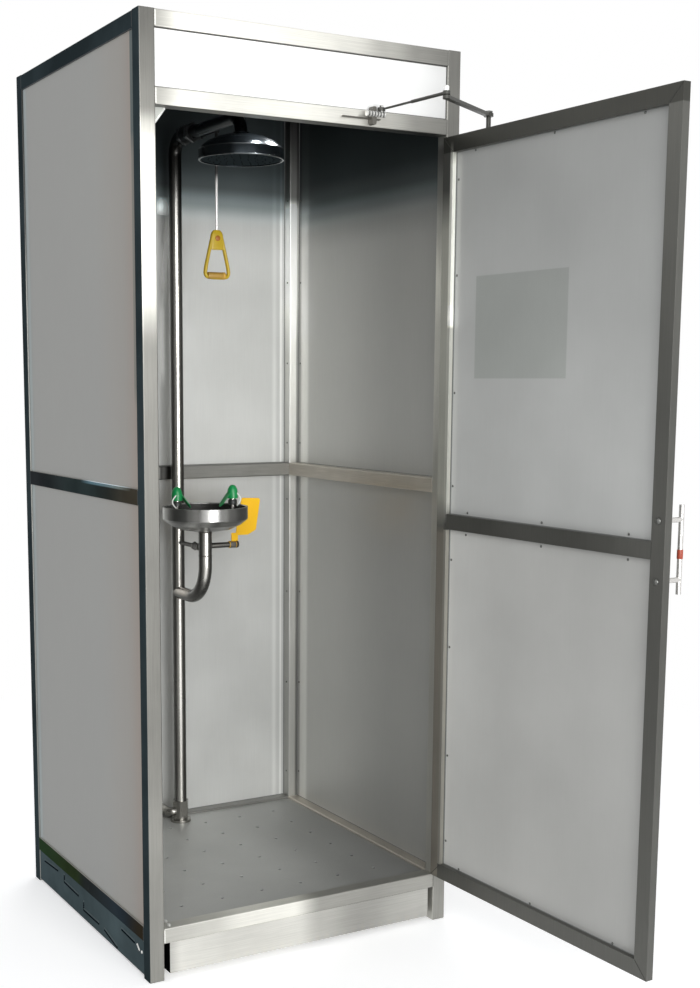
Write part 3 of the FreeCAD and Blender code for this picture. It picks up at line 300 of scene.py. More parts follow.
def put(name, grids, material, body, stands_for=()):
    """A piece made of one or more grids of points, each a stack of closed rings.

    A grid has rows along the piece, points round each row and three coordinates; a row's points are joined to
    the next row's with quads, and the first and last row are closed flat, or joined when they are the same.
    Where the sum of the volumes under the faces is negative, the faces are turned round, so that they point
    outwards."""
    corners, faces, start = [], [], 0
    for grid in grids:
        grid = np.asarray(grid, float)
        ring = np.allclose(grid[0], grid[-1])
        rows = grid[:-1] if ring else grid
        count, around = rows.shape[:2]
        index = np.arange(count * around).reshape(count, around)
        index = np.vstack([index, index[:1]]) if ring else index
        beside = np.roll(index, -1, axis=1)
        quads = np.stack([index[:-1], beside[:-1], beside[1:], index[1:]], axis=-1).reshape(-1, 4)
        points = rows.reshape(-1, 3) - rows.reshape(-1, 3).mean(axis=0)
        halves = np.vstack([quads[:, [0, 1, 2]], quads[:, [0, 2, 3]]])
        if not ring:
            fan = np.stack([np.full(around - 2, 0), np.arange(2, around), np.arange(1, around - 1)], axis=-1)
            halves = np.vstack([halves, index[0][fan], index[-1][fan[:, ::-1]]])
        volume = np.einsum("ij,ij->i", points[halves[:, 0]],
                           np.cross(points[halves[:, 1]], points[halves[:, 2]])).sum()
        found = quads.tolist() + ([] if ring else [index[0][::-1].tolist(), index[-1].tolist()])
        faces += [[start + i for i in (face if volume > 0 else face[::-1])] for face in found]
        corners.append(rows.reshape(-1, 3))
        start += count * around
    mesh = bpy.data.meshes.new(name)
    mesh.from_pydata(np.vstack(corners).tolist(), [], faces)
    mesh.shade_smooth()
    mesh.set_sharp_from_angle(angle=math.radians(38))
    mesh.materials.append(material)
    item = bpy.data.objects.new(name, mesh)
    bpy.context.scene.collection.objects.link(item)
    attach(item, body)
    if stands_for:
        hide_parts(*stands_for)


def carried(path, wide, tall=None, sides=10, power=2.0):
    """A rounded profile carried along a path of points.

    The profile is a circle or, with a power above two, a rounded rectangle: cos and sin of the angle, each
    raised to two over the power. It stands square to the path's run, with its width level where the path
    allows it."""
    path = np.asarray(path, float)
    run = np.gradient(path, axis=0)
    if np.allclose(path[0], path[-1]):
        run[0] = run[-1] = path[1] - path[-2]
    run /= np.linalg.norm(run, axis=1)[:, None]
    up = np.where(np.abs(run[:, 2:]) > 0.95, [[0.0, 1.0, 0.0]], [[0.0, 0.0, 1.0]])
    if np.ptp(path[:, 1]) < 1e-9:
        up = np.tile([0.0, 1.0, 0.0], (len(path), 1))
    elif np.ptp(path[:, 0]) < 1e-9:
        up = np.tile([1.0, 0.0, 0.0], (len(path), 1))
    aside = np.cross(run, up)
    aside /= np.linalg.norm(aside, axis=1)[:, None]
    upward = np.cross(aside, run)
    turn = np.linspace(0, 2 * np.pi, sides, endpoint=False)
    across = np.sign(np.cos(turn)) * np.abs(np.cos(turn)) ** (2 / power)
    along = np.sign(np.sin(turn)) * np.abs(np.sin(turn)) ** (2 / power)
    wide = np.broadcast_to(wide, len(path))
    tall = wide if tall is None else np.broadcast_to(tall, len(path))
    return (path[:, None] + aside[:, None] * (across * wide[:, None])[..., None]
            + upward[:, None] * (along * tall[:, None])[..., None])


def turned(profile, centre, axis=(0, 0, 1), sides=24, flats=0):
    """A profile of radius and height pairs turned about an axis; with flats the ring is that many sided."""
    profile = np.asarray(profile, float)
    axis = np.asarray(axis, float) / np.linalg.norm(axis)
    first = np.cross(axis, [0.0, 1.0, 0.0] if abs(axis[1]) < 0.9 else [1.0, 0.0, 0.0])
    first /= np.linalg.norm(first)
    second = np.cross(axis, first)
    turn = np.linspace(0, 2 * np.pi, flats or sides, endpoint=False)
    ring = np.cos(turn)[:, None] * first + np.sin(turn)[:, None] * second
    return np.asarray(centre, float) + profile[:, :1, None] * ring + profile[:, 1:, None] * axis


def span(box):
    """The low and the high corner of a box, as arrays."""
    low, high = box
    return np.array(low), np.array(high)


# A painted dark reflection of the surroundings, the colour of the tubes' faces towards the left.
DARK_REFLECTION = (48, 57, 60)
TUBE_STEEL = (196, 195, 188)
BACK_STEEL = (136, 136, 132)
booth_left, booth_front = (float(value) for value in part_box("post_front_left")[0][:2])
booth_top = float(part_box("post_front_left")[1][2])
tube = float(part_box("post_front_left")[1][0]) - booth_left
inner_left = booth_left + tube
inner_right = float(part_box("post_front_right")[0][0])
inner_back = float(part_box("post_back_right")[0][1])
header_low, header_high = (float(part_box("header_rail")[corner][2]) for corner in (0, 1))
mid_low, mid_high = (float(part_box("mid_rail_back")[corner][2]) for corner in (0, 1))
rail_low, rail_high = (float(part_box("low_rail_front")[corner][2]) for corner in (0, 1))

# Painted light and shade up the front posts: darker low down and near the top, with painted highlights
# between; the right post's inner face is painted lighter.
left_post_painted_light = [("Z", [(0.0, 0.50), (0.3, 0.48), (0.7, 0.35), (1.1, 0.29), (1.35, 0.32), (1.56, 0.38),
                    (1.74, 1.3), (2.03, 1.6), (2.07, 1.0), (2.12, 0.42), (booth_top, 0.27)])]
right_post_painted_light = [("Z", [(0.0, 0.5), (0.7, 0.36), (1.25, 0.42), (1.6, 0.6), (1.75, 0.8), (1.9, 0.6), (2.0, 0.32),
                     (2.09, 0.2), (2.11, 0.36), (booth_top, 0.36)])]
inner_face_painted_light = ((-1.0, 0.0, 0.0), [(-1.0, 1.0), (0.5, 1.0), (0.9, 2.0), (1.0, 2.0)])
dress(finish_of("post_left_steel", TUBE_STEEL, "z", shades=left_post_painted_light, side=DARK_REFLECTION), "post_front_left")
dress(finish_of("post_right_steel", TUBE_STEEL, "z", shades=right_post_painted_light, streak=inner_face_painted_light),
      "post_front_right")
# Painted shade: the back left post darkens towards the roof; its left face has the painted dark reflection.
dress(finish_of("post_back_left_steel", (150, 150, 146), "z", side=DARK_REFLECTION,
                shades=[("Z", [(0.0, 1.0), (1.7, 1.0), (1.95, 0.3), (booth_top, 0.12)])]), "post_back_left")
# A painted highlight: a bright band down the back right post's front face, dark near the roof.
band = [("Z", [(0.0, 0.85), (1.1, 0.85), (1.28, 1.2), (1.55, 1.5), (1.8, 2.8), (2.02, 2.8), (2.06, 0.5),
               (booth_top, 0.1)]),
        ("X", [(0.388, 0.9), (0.392, 1.5), (0.410, 1.5), (0.417, 0.6), (0.43, 0.6)])]
dress(finish_of("post_back_right_steel", (170, 170, 166), "z", shades=band), "post_back_right")
# Painted light along the front rails, lighter at the left and darker to the right, and painted shade on their
# undersides.
bright = [("X", [(-0.43, 0.75), (-0.36, 1.45), (0.1, 1.45), (0.2, 0.9), (0.3, 0.52), (0.39, 0.42)])]
underside_painted_shade = ((0.0, 0.0, -1.0), [(-1.0, 1.0), (0.6, 1.0), (0.9, 0.16), (1.0, 0.16)])
dress(finish_of("rail_front_steel", TUBE_STEEL, "x", shades=bright, streak=underside_painted_shade), "top_rail_front",
      "header_rail")
# Painted light along the low front rail, lightest left of the middle.
low_rail_painted_light = [("X", [(-0.43, 0.85), (-0.30, 1.1), (-0.2, 1.5), (-0.06, 1.5), (0.03, 0.6), (0.2, 0.55),
                     (0.39, 0.62)])]
dress(finish_of("rail_low_steel", TUBE_STEEL, "x", shades=low_rail_painted_light), "low_rail_front")
# A painted shadow on the back mid rail beside the standpipe.
pipe_painted_shadow = [("X", [(-0.43, 1.0), (-0.064, 1.0), (-0.058, 0.2), (-0.052, 0.45), (-0.041, 0.45),
                      (-0.035, 0.18), (-0.028, 0.2), (-0.02, 1.0), (0.39, 1.0)])]
dress(finish_of("rail_back_steel", BACK_STEEL, "x", grain=0.14, cloud=0.2, shades=pipe_painted_shadow),
      "mid_rail_back")
dress(finish_of("rail_back_low_steel", BACK_STEEL, "x", grain=0.14, cloud=0.2), "low_rail_back")
# Painted shade: the back top rail under the roof is a dark copy of the steel, its left face with the painted
# dark reflection.
dress(finish_of("rail_top_steel", (60, 66, 70), "x", side=DARK_REFLECTION), "top_rail_back")
# A painted highlight on the left mid rail's upper edge; along the left rails' outer faces the painted dark
# reflection changes colour, green, blue-grey and brown, with the surroundings mirrored.
rail_glint = ((6.0, 7.5, 9.0, 1.0), [("Y", 0.12, 0.34, 0.06), ("Z", 1.2295, 1.2375, 0.0015)])
dress(finish_of("rail_left_steel", (150, 149, 144), "y", patches=[rail_glint],
                side=[(0.05, (58, 54, 46)), (0.35, (48, 58, 58)), (0.8, (44, 46, 48))]), "mid_rail_left")
dress(finish_of("rail_low_left_steel", (150, 149, 144), "y",
                side=[(0.03, (52, 46, 36)), (0.16, (42, 50, 56)), (0.42, (42, 46, 46)), (0.5, (48, 60, 38)),
                      (0.8, (40, 58, 38))]), "low_rail_left")
dress(finish_of("rail_right_steel", (190, 184, 174), "y", grain=0.14, cloud=0.2), "mid_rail_right",
      "low_rail_right")
# Painted shade: the side top rails under the roof are dark copies of the steel, the left one's outer face
# with the painted dark reflection.
dress(finish_of("rail_top_left_steel", (70, 74, 78), "y", side=DARK_REFLECTION), "top_rail_left")
dress(finish_of("rail_top_right_steel", (56, 60, 64), "y"), "top_rail_right")


def seam(points, radius=0.0011, ripple=0.00025):
    """A weld seam: a round bead along a line, its radius rising and falling with the ripples of the weld."""
    start, end = np.asarray(points, float)
    count = max(int(np.linalg.norm(end - start) / 0.002), 6)
    share = np.linspace(0, 1, count)[:, None]
    path = start + share * (end - start)
    return carried(path, radius + ripple * np.sin(np.arange(count) * 2.1), sides=6)


def upright(x, y, levels, radius=0.0011):
    """A weld seam up the end of a rail, which stops a little short of the rail's lower and upper edge."""
    short = 0.003
    return seam([(x, y, levels[0] + short), (x, y, levels[1] - short)], radius)


seam_steel = finish_of("seam_steel", (120, 120, 116), "", metal=0.8, rough=0.4)
BEAD_OFFSET = 0.0002  # between a face and a bead's middle: outwards in front, inwards on the left side
face_y = booth_front - BEAD_OFFSET
ends = [(booth_top - tube, booth_top), (rail_low, rail_high)]
front_rails = [(header_low, header_high), *ends]
side_rails = [(mid_low, mid_high), *ends]
beads = [upright(inner_right, face_y, levels) for levels in front_rails]
# The beads at the left joints are wider and near white: real weld beads, brightened as a painted highlight.
bright_beads = [upright(inner_left + 0.001, face_y, levels, 0.0022) for levels in front_rails]
# The beads on the left faces are dark, matching the painted dark reflection there.
dark_beads = [upright(booth_left + BEAD_OFFSET, line, levels) for levels in side_rails
              for line in (booth_front + tube, inner_back)]
put("frame_weld_seams", beads, seam_steel, "booth")
put("side_weld_seams", dark_beads, finish_of("side_seam_dark_reflection", (44, 50, 52), "", metal=0.1, rough=0.6),
    "booth")
put("front_weld_beads", bright_beads, finish_of("bead_steel", (232, 232, 226), "", metal=0.5, rough=0.4),
    "booth")

# Doorway gusset
# A small triangle of plate welded into the upper left corner of the doorway, its long edge ground bright.
low, high = span(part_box("doorway_gusset"))
dress(finish_of("gusset_steel", (188, 190, 184), "x", metal=0.4), "doorway_gusset")
edge_steel = finish_of("gusset_edge_steel", (244, 244, 240), "", metal=0.3, rough=0.3)
middle = (low[1] + high[1]) / 2
put("gusset_ground_edge", [carried([(low[0] + 0.001, middle, low[2] + 0.001),
                                    (high[0] - 0.001, middle, high[2] - 0.001)],
                                   0.0032, 0.0024, sides=10)], edge_steel, "booth")

# Sheets
# Thin stainless sheet set between the tubes, bedded on a bead of sealant and fixed from inside with small
# screws; the outside is matt. The tints for the light inside colour both faces of a sheet.
# Painted light and shade inside the back wall: darker and bluer under the roof, lighter in narrow streaks
# near its right edge.
wall = [("Z", [(0.13, 1.1), (0.5, 0.95), (1.15, 0.88), (1.24, 1.05), (1.75, 1.0), (1.88, 1.15), (1.98, 1.1),
               (2.03, 0.55), (2.08, 0.17), (2.15, 0.09), (booth_top, 0.05)]),
        ("Z", [(1.95, WHITE), (2.06, (0.8, 0.95, 1.0, 1.0)), (2.16, (0.72, 0.92, 1.0, 1.0))]),
        ("X", [(-0.43, 1.0), (0.34, 1.0), (0.353, 1.2), (0.364, 1.0), (0.371, 1.0), (0.376, 1.5),
               (0.381, 1.0), (0.389, 0.8)])]
# Painted reflections on the back wall, left of the standpipe.
glints = [((8.0, 8.0, 8.0, 1.0), [("X", -0.042, -0.016, 0.009), ("Z", 1.996, 2.028, 0.012)]),
          ((1.8, 1.8, 1.8, 1.0), [("X", -0.024, -0.010, 0.006), ("Z", 1.86, 1.97, 0.05)]),
          ((1.8, 1.8, 1.8, 1.0), [("X", -0.034, -0.020, 0.006), ("Z", 1.76, 1.87, 0.04)]),
          ((1.7, 1.7, 1.7, 1.0), [("X", -0.040, -0.026, 0.006), ("Z", 1.50, 1.73, 0.03)])]
dress(finish_of("sheet_back", (205, 206, 203), "z", grain=0.03, cloud=0.05, metal=0.35, rough=0.42,
                shades=wall, patches=glints), "panel_back_upper", "panel_back_lower")
# Painted light and shade inside the right wall: darker and bluer under the roof, darker near the front, and a
# painted reflection strip near the back corner.
right_wall = [("Z", [(0.13, 1.0), (0.5, 0.95), (1.15, 0.9), (1.24, 1.1), (1.75, 1.0), (1.88, 1.0),
                     (1.96, 0.8), (2.0, 0.5), (2.04, 0.22), (2.1, 0.12), (booth_top, 0.06)]),
              ("Z", [(1.93, WHITE), (2.04, (0.8, 0.95, 1.0, 1.0)), (2.14, (0.72, 0.92, 1.0, 1.0))]),
              ("Y", [(0.0, 0.9), (0.08, 0.82), (0.25, 0.8), (0.6, 1.0), (0.735, 1.0), (0.755, 1.45),
                     (0.785, 1.45), (0.795, 0.9)])]
dress(finish_of("sheet_right", (188, 188, 184), "z", grain=0.03, cloud=0.05, metal=0.35, rough=0.42,
                shades=right_wall), "panel_right_upper", "panel_right_lower")
strip = [("Y", [(0.019, 1.1), (0.032, 0.95), (0.2, 1.0), (0.775, 1.0), (0.79, 1.25), (0.805, 1.3)]),
         ("Y", [(0.019, (1.0, 0.87, 0.8, 1.0)), (0.12, (1.0, 0.96, 0.93, 1.0)), (0.3, WHITE),
                (0.765, WHITE), (0.795, (0.86, 0.96, 1.0, 1.0))])]
margin = [((0.24, 0.36, 0.40, 1.0), [("Y", 0.015, 0.045, 0.0015), ("Z", 2.04, 2.32, 0.03)]),
          ((0.6, 0.66, 0.66, 1.0), [("Y", 0.015, 0.042, 0.002), ("Z", 1.45, 2.04, 0.03)])]
dress(finish_of("sheet_left", (150, 150, 147), "z", grain=0.02, cloud=0.06, metal=0.15, rough=0.6,
                shades=strip, patches=margin), "panel_left_upper", "panel_left_lower")
# Painted shade: the roof is a dark bluish copy of the sheet steel.
dress(finish_of("sheet_roof", (60, 68, 74), "x", metal=0.3), "roof_panel")
# Painted shade: the header panel greys towards its ends, most at the right.
header_painted_shade = [("X", [(-0.43, 0.86), (-0.38, 0.97), (-0.3, 1.0), (0.14, 1.0), (0.28, 0.84), (0.39, 0.70)])]
dress(finish_of("header_white", (250, 250, 248), "", grain=0.01, cloud=0.02, metal=0.0, rough=0.35, bump=0.02,
                shades=header_painted_shade), "header_panel")


def domes(spots, towards, radius=0.0032, tall=0.0016, sides=10):
    """Domed screw heads: at each spot a low dome turned about the direction that the head faces."""
    profile = [(radius, -0.0004), (radius, tall * 0.3), (radius * 0.82, tall * 0.75), (radius * 0.4, tall)]
    return [turned(profile, spot, towards, sides) for spot in spots]


screw_steel = finish_of("screw_steel", (105, 106, 103), "", metal=0.9, rough=0.3)
back_face = float(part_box("panel_back_upper")[0][1])
right_face = float(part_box("panel_right_upper")[0][0])
levels = np.concatenate([np.linspace(0.22, 1.12, 4), np.linspace(1.30, 2.05, 4)])
side_spots = [(inner_right - 0.0001, inner_back + 0.014, level) for level in levels]
put("back_post_screws", domes(side_spots, (-1, 0, 0)), screw_steel, "booth")
put("right_wall_screws", domes([(right_face, inner_back - 0.010, level) for level in levels], (-1, 0, 0)),
    screw_steel, "booth")
left_face = float(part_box("panel_left_upper")[0][0])
rivets = [(left_face, booth_front + tube + 0.006, level) for level in np.arange(0.20, 2.25, 0.075)
          if not mid_low - 0.01 < level < mid_high + 0.01]
put("left_panel_rivets", domes(rivets, (-1, 0, 0), 0.0026, 0.0012, 8),
    finish_of("rivet_dark", (52, 54, 52), "", metal=0.4), "booth")
front_face = float(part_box("header_panel")[0][1])
sealant = finish_of("sealant_grey", (120, 122, 120), "", metal=0.0, rough=0.6)
frame_line = [(inner_left, front_face, header_high), (inner_right, front_face, header_high),
              (inner_right, front_face, booth_top - tube), (inner_left, front_face, booth_top - tube)]
put("header_sealant", [seam([frame_line[i], frame_line[(i + 1) % 4]], 0.0018, 0.0001) for i in range(4)],
    finish_of("sealant_dark", (70, 70, 66), "", metal=0.0, rough=0.7), "booth")
wall_lines = []
back_run = [(inner_left, back_face), (inner_right, back_face), (inner_right, back_face)]
right_run = [(right_face, inner_back), (right_face, booth_front + tube), (right_face, inner_back)]
for low_edge, high_edge in ((rail_high, mid_low), (mid_high, booth_top - tube)):
    for near, far, corner in (back_run, right_run):
        wall_lines += [[(*near, low_edge), (*far, low_edge)], [(*near, high_edge), (*far, high_edge)],
                       [(*corner, low_edge), (*corner, high_edge)]]
put("wall_sealant", [seam(line, 0.0014, 0.0001) for line in wall_lines], sealant, "booth")

# Base
# Skirt plates coloured with a painted dark reflection, the left one with short stepped slots, drawn as lines
# of painted shade with painted highlights along their upper lips, and a small catch; a bright folded tray and
# the perforated floor plate, both with painted light and shade, and a small bolt on the left end of the sill.
# The skirt's whole colour is a painted dark reflection of the surroundings.
dress(finish_of("skirt_painted_reflection", (72, 82, 86), "y", cloud=0.25, metal=0.2, rough=0.5, side=(72, 84, 87)),
      "skirt_left", "skirt_right", "skirt_back")
skirt_x = float(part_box("skirt_left")[0][0])
# The slots are drawn as dark lines of painted shade, with painted highlights along their upper lips.
slot_painted_shade = finish_of("slot_painted_shade", (16, 22, 28), "", metal=0.0, rough=0.8, shine=0.0)
slot_lip_painted_highlight = finish_of("slot_lip_painted_highlight", (88, 99, 101), "", metal=0.0, rough=0.8, shine=0.0)
cuts = [[(0.763, 0.0735), (0.650, 0.0793)], [(0.5965, 0.0837), (0.597, 0.0622), (0.484, 0.0589)],
        [(0.4435, 0.0545), (0.444, 0.0307), (0.330, 0.0309)], [(0.168, 0.0737), (0.082, 0.0697)],
        [(0.290, 0.0290), (0.200, 0.0115)]]
for name, lift, material, out in (("skirt_slot_shade_lines", 0.0, slot_painted_shade, 0.0003),
                                  ("skirt_slot_lip_highlights", 0.0055, slot_lip_painted_highlight, 0.0001)):
    put(name, [seam([(skirt_x - out, y, z + lift), (skirt_x - out, far_y, far_z + lift)], 0.0021, 0.0002)
               for cut in cuts for (y, z), (far_y, far_z) in zip(cut, cut[1:])],
        material, "booth")
catch_steel = finish_of("catch_steel", (226, 226, 222), "", metal=0.3, rough=0.3)
put("skirt_catch", [seam([(skirt_x - 0.001, 0.0645, 0.074), (skirt_x - 0.001, 0.0485, 0.061)],
                         0.0020, 0.0003),
                    *domes([(skirt_x, 0.0355, 0.062)], (-1, 0, 0), 0.0042, 0.0026)],
    catch_steel, "booth")
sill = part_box("floor_plate")[1][2] + 0.0058
bolt = np.linspace([-0.407, 0.0325, sill], [-0.411, -0.0095, sill], 11)
put("sill_bolt", [carried(bolt, [0.002, 0.0046, 0.0056, 0.0044, 0.002, 0.002,
                                 0.002, 0.0044, 0.0056, 0.0046, 0.002], sides=12)],
    catch_steel, "booth")
# Painted light and shade across the tray; its upward faces are painted nearly black, a painted shade seen
# through the floor's holes, and its left wall is painted near black as shade.
tray_painted_light = [("X", [(-0.415, 0.85), (-0.38, 1.15), (-0.2, 1.1), (-0.05, 1.2), (0.03, 0.8), (0.15, 0.58),
                      (0.37, 0.75)])]
shadowed = ((0.0, 0.0, 1.0), [(-1.0, 1.0), (0.5, 1.0), (0.9, 0.03), (1.0, 0.03)])
dress(finish_of("tray_steel", (200, 199, 193), "x", shades=tray_painted_light, streak=shadowed, side=(12, 13, 13)),
      "sump_tray")
# Painted light and shade over the floor plate: darker to the right and the front.
floor_painted_light = [("X", [(-0.43, 1.1), (0.0, 0.9), (0.25, 0.6), (0.39, 0.5)]),
                ("Y", [(0.0, 0.8), (0.4, 0.95), (0.8, 1.15)])]
dress(finish_of("floor_steel", (201, 202, 199), "", grain=0.06, cloud=0.10, metal=0.35, rough=0.42,
                shades=floor_painted_light), "floor_plate")

# Shower pipework
# Polished stainless tube bent at the top, a valve with hexagon ends, and a spun head with rings of nozzles in
# a matt dark face, its darkness a painted shade. A painted reflection streak runs down the pipes' faces
# towards the door; the upper pipes, the valve, the arm and the head are painted dark as painted shade under
# the roof.
TOWARDS_DOOR = (-0.42, -0.91, 0.0)
PIPE_STEEL = (178, 176, 171)
# A painted reflection streak: pipe faces towards the door are lighter, the rest darker.
pipe_painted_reflection = (TOWARDS_DOOR, [(-1.0, 0.3), (0.3, 0.22), (0.78, 0.25), (0.9, 0.6), (0.96, 1.3), (0.99, 1.45),
                         (1.0, 1.3)])
# Painted shade on the pipes under the roof.
gloom = ("Z", [(0.1, 1.0), (1.85, 1.0), (1.99, 0.7), (2.06, 0.25), (2.12, 0.1), (booth_top, 0.06)])
dress(finish_of("pipe_steel", PIPE_STEEL, "z", grain=0.04, metal=0.8, rough=0.22, streak=pipe_painted_reflection,
                shades=[gloom]), "standpipe", "eyewash_branch", "spray_manifold")
# A painted highlight along the top of the drain's level run.
lit_run = [((8.0, 7.6, 7.4, 1.0), [("Y", 0.672, 0.752, 0.02), ("Z", 0.856, 0.872, 0.006)])]
dress(finish_of("drain_steel", PIPE_STEEL, "z", grain=0.04, metal=0.8, rough=0.22, streak=pipe_painted_reflection,
                patches=lit_run), "eyewash_drain")
# Painted shade: the valve, the arm, the lever and the head are dark copies of the pipe steel, darkest under
# the roof.
dress(finish_of("pipe_dark_steel", (62, 68, 72), "y", grain=0.04, metal=0.8, rough=0.28, shades=[gloom]),
      "shower_valve", "shower_arm", "valve_lever")
dress(finish_of("head_steel", (44, 50, 54), "", grain=0.03, metal=0.85, rough=0.2), "shower_head")
head_low, head_high = span(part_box("shower_head"))
head_centre = (head_low + head_high) / 2
head_radius = (head_high[0] - head_low[0]) / 2
nozzles = []
for ring_radius, count in ((0.022, 6), (0.044, 12), (0.066, 18), (0.088, 24)):
    turn_round = np.linspace(0, 2 * np.pi, count, endpoint=False)
    nozzles += [(head_centre[0] + ring_radius * math.cos(a), head_centre[1] + ring_radius * math.sin(a),
                 head_low[2] + 0.003) for a in turn_round]
put("shower_head_nozzles", domes(nozzles, (0, 0, -1), 0.0022, 0.0022, 6),
    finish_of("nozzle_dark", (20, 23, 24), "", metal=0.0, shine=0.0), "booth")
# Painted shade: the head's face is matt and dark.
put("shower_head_face", [turned([(0.1086, 0.0006), (0.1082, -0.0004), (0.090, -0.0007), (0.050, -0.0011),
                                 (0.010, -0.0013)],
                                (head_centre[0], head_centre[1], head_low[2] + 0.0032), sides=64)],
    finish_of("head_face_painted_shade", (46, 53, 56), "", metal=0.0, rough=0.8, shine=0.0), "booth")
# Painted highlights: the rims are light over the middle of the head and fade to dark at its sides.
rim_steel = finish_of("head_rim_steel", (150, 156, 158), "", metal=0.9, rough=0.15,
                      shades=[("X", [(-0.135, 0.15), (-0.085, 0.5), (-0.03, 1.0), (0.02, 0.25),
                                     (0.093, 0.1)])])
round_share = np.linspace(0, 2 * np.pi, 65)
ring = np.stack([np.cos(round_share), np.sin(round_share), np.zeros_like(round_share)], axis=-1)
put("shower_head_rims", [carried([head_centre[0], head_centre[1], level] + ring * (head_radius - 0.0008),
                                 0.0014, sides=8)
                         for level in (head_low[2] + 0.002, head_low[2] + 0.027)],
    rim_steel, "booth")
valve_low, valve_high = span(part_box("shower_valve"))
pipe_x = head_centre[0]
arm_z = (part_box("shower_valve")[0][2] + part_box("shower_valve")[1][2]) / 2
hexagon = [(0.027, 0.0), (0.0295, 0.002), (0.0295, 0.012), (0.027, 0.014)]
put("shower_valve_nuts", [turned(hexagon, (pipe_x, y, arm_z), (0, 1, 0), flats=6)
                          for y in (valve_low[1] - 0.001, valve_high[1] - 0.013)],
    finish_of("nut_steel", (90, 92, 92), "", metal=0.85, rough=0.3), "booth")

# Floor union
# A flanged foot, a hexagon union nut and the inlet stub, darkened by handling.
dress(finish_of("union_steel", (150, 148, 142), "z", grain=0.04, cloud=0.2, metal=0.85, rough=0.28),
      "floor_union")

# Pull handle
# A steel rod hung from the lever by an eye, with a moulded yellow handle: a boss with a brown plug, two round
# legs and a grip sleeve with a collar.
handle_low, handle_high = span(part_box("pull_handle"))
rod_x = (handle_low[0] + handle_high[0]) / 2
rod_y = (handle_low[1] + handle_high[1]) / 2
eye_z = handle_high[2] - 0.009
foot_z = handle_low[2]
boss_top = foot_z + 0.139
yellow = finish_of("handle_yellow", (196, 166, 34), "", grain=0.02, cloud=0.10, metal=0.0, rough=0.36,
                   bump=0.03)
# Painted light and shade: the rod is light up to the roof line and painted dark above it.
rod_steel = finish_of("rod_steel", (232, 230, 228), "z", metal=0.35, rough=0.2,
                      shades=[("Z", [(1.9, 1.25), (2.05, 1.25), (2.08, 0.12), (2.2, 0.05)])])
eye_ring = np.roll(ring[::2], 1, axis=1)
put("pull_rod", [carried([(rod_x, rod_y, boss_top - 0.01), (rod_x, rod_y, eye_z - 0.0085)], 0.0040, sides=16),
                 carried([rod_x, rod_y, eye_z] + eye_ring * 0.0066, 0.0024, 0.0032, sides=10)],
    rod_steel, "pull_handle", ("pull_handle",))
boss_steps = np.linspace(0, 1, 9)
boss_path = np.linspace([rod_x, rod_y, boss_top], [rod_x, rod_y, boss_top - 0.055], 9)
boss_stops = [0, 0.05, 0.2, 0.8, 1]
boss_wide = np.interp(boss_steps, boss_stops, [0.010, 0.0135, 0.0185, 0.0225, 0.023])
boss_deep = np.interp(boss_steps, boss_stops, [0.004, 0.006, 0.0068, 0.0068, 0.006])


def chaikin(points, times=3):
    """Corner cutting, which keeps the quarter and three-quarter points of each side of an open run."""
    points = np.asarray(points, float)
    for _ in range(times):
        cutoff = np.stack([0.75 * points[:-1] + 0.25 * points[1:], 0.25 * points[:-1] + 0.75 * points[1:]],
                          axis=1)
        points = np.vstack([points[:1], cutoff.reshape(-1, 3), points[-1:]])
    return points


half_run = [(0.012, 0.128), (0.0145, 0.120), (0.0375, 0.027), (0.0365, 0.012), (0.027, 0.0058)]
legs = chaikin([(rod_x - aside, rod_y, foot_z + up) for aside, up in half_run]
               + [(rod_x + aside, rod_y, foot_z + up) for aside, up in reversed(half_run)])
put("pull_handle_frame", [carried(boss_path, boss_wide, boss_deep, 20, 3.5),
                          carried(legs, 0.0052, 0.0062, 14)],
    yellow, "pull_handle", ("pull_handle",))
put("pull_handle_plug", [turned([(0.0078, 0.0), (0.0078, 0.0012), (0.006, 0.0024), (0.003, 0.0028)],
                                (rod_x, rod_y - 0.0064, foot_z + 0.116), (0, -1, 0))],
    finish_of("plug_brown", (172, 104, 38), "", metal=0.0, rough=0.45), "pull_handle")
put("pull_handle_grip", [turned([(0.0085, -0.030), (0.0098, -0.028), (0.0098, 0.014), (0.0085, 0.0155),
                                 (0.0104, 0.017), (0.0104, 0.024), (0.0085, 0.026)],
                                (rod_x, rod_y, foot_z + 0.0115), (1, 0, 0))],
    finish_of("grip_ochre", (186, 146, 62), "x", grain=0.08, metal=0.0, rough=0.5,
              shades=[("X", [(rod_x + 0.014, 0.9), (rod_x + 0.019, 1.35), (rod_x + 0.026, 1.2)])]),
    "pull_handle")

# Eyewash bowl
# A spun and polished bowl with a deep lip, a strainer over its drain, and two spray heads under moulded green
# dust caps, each cap with a leaf-shaped flap and a pale strap.
# Painted reflections across the bowl: light and dark bands along X, darkest to the right.
lip_painted_reflection = [("X", [(-0.148, 1.0), (-0.138, 0.28), (-0.122, 0.35), (-0.112, 0.7), (-0.098, 0.95),
                    (-0.083, 0.7), (-0.067, 0.85), (-0.058, 0.8), (-0.050, 0.58), (-0.041, 0.42),
                    (-0.012, 0.56), (0.009, 0.45), (0.033, 0.28), (0.062, 0.23), (0.104, 0.25)])]
dress(finish_of("bowl_steel", (190, 190, 187), "", grain=0.03, metal=0.75, rough=0.2, shades=lip_painted_reflection),
      "eyewash_bowl")
bowl_low, bowl_high = span(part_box("eyewash_bowl"))
bowl_x, bowl_y = (bowl_low[:2] + bowl_high[:2]) / 2
bowl_radius = (bowl_high[0] - bowl_low[0]) / 2
put("bowl_rolled_rim", [carried([bowl_x, bowl_y, bowl_high[2] - 0.0022] + ring * (bowl_radius - 0.0026),
                                0.0024, sides=8)],
    finish_of("bowl_rim_steel", (214, 214, 211), "", metal=0.8, rough=0.15), "booth")
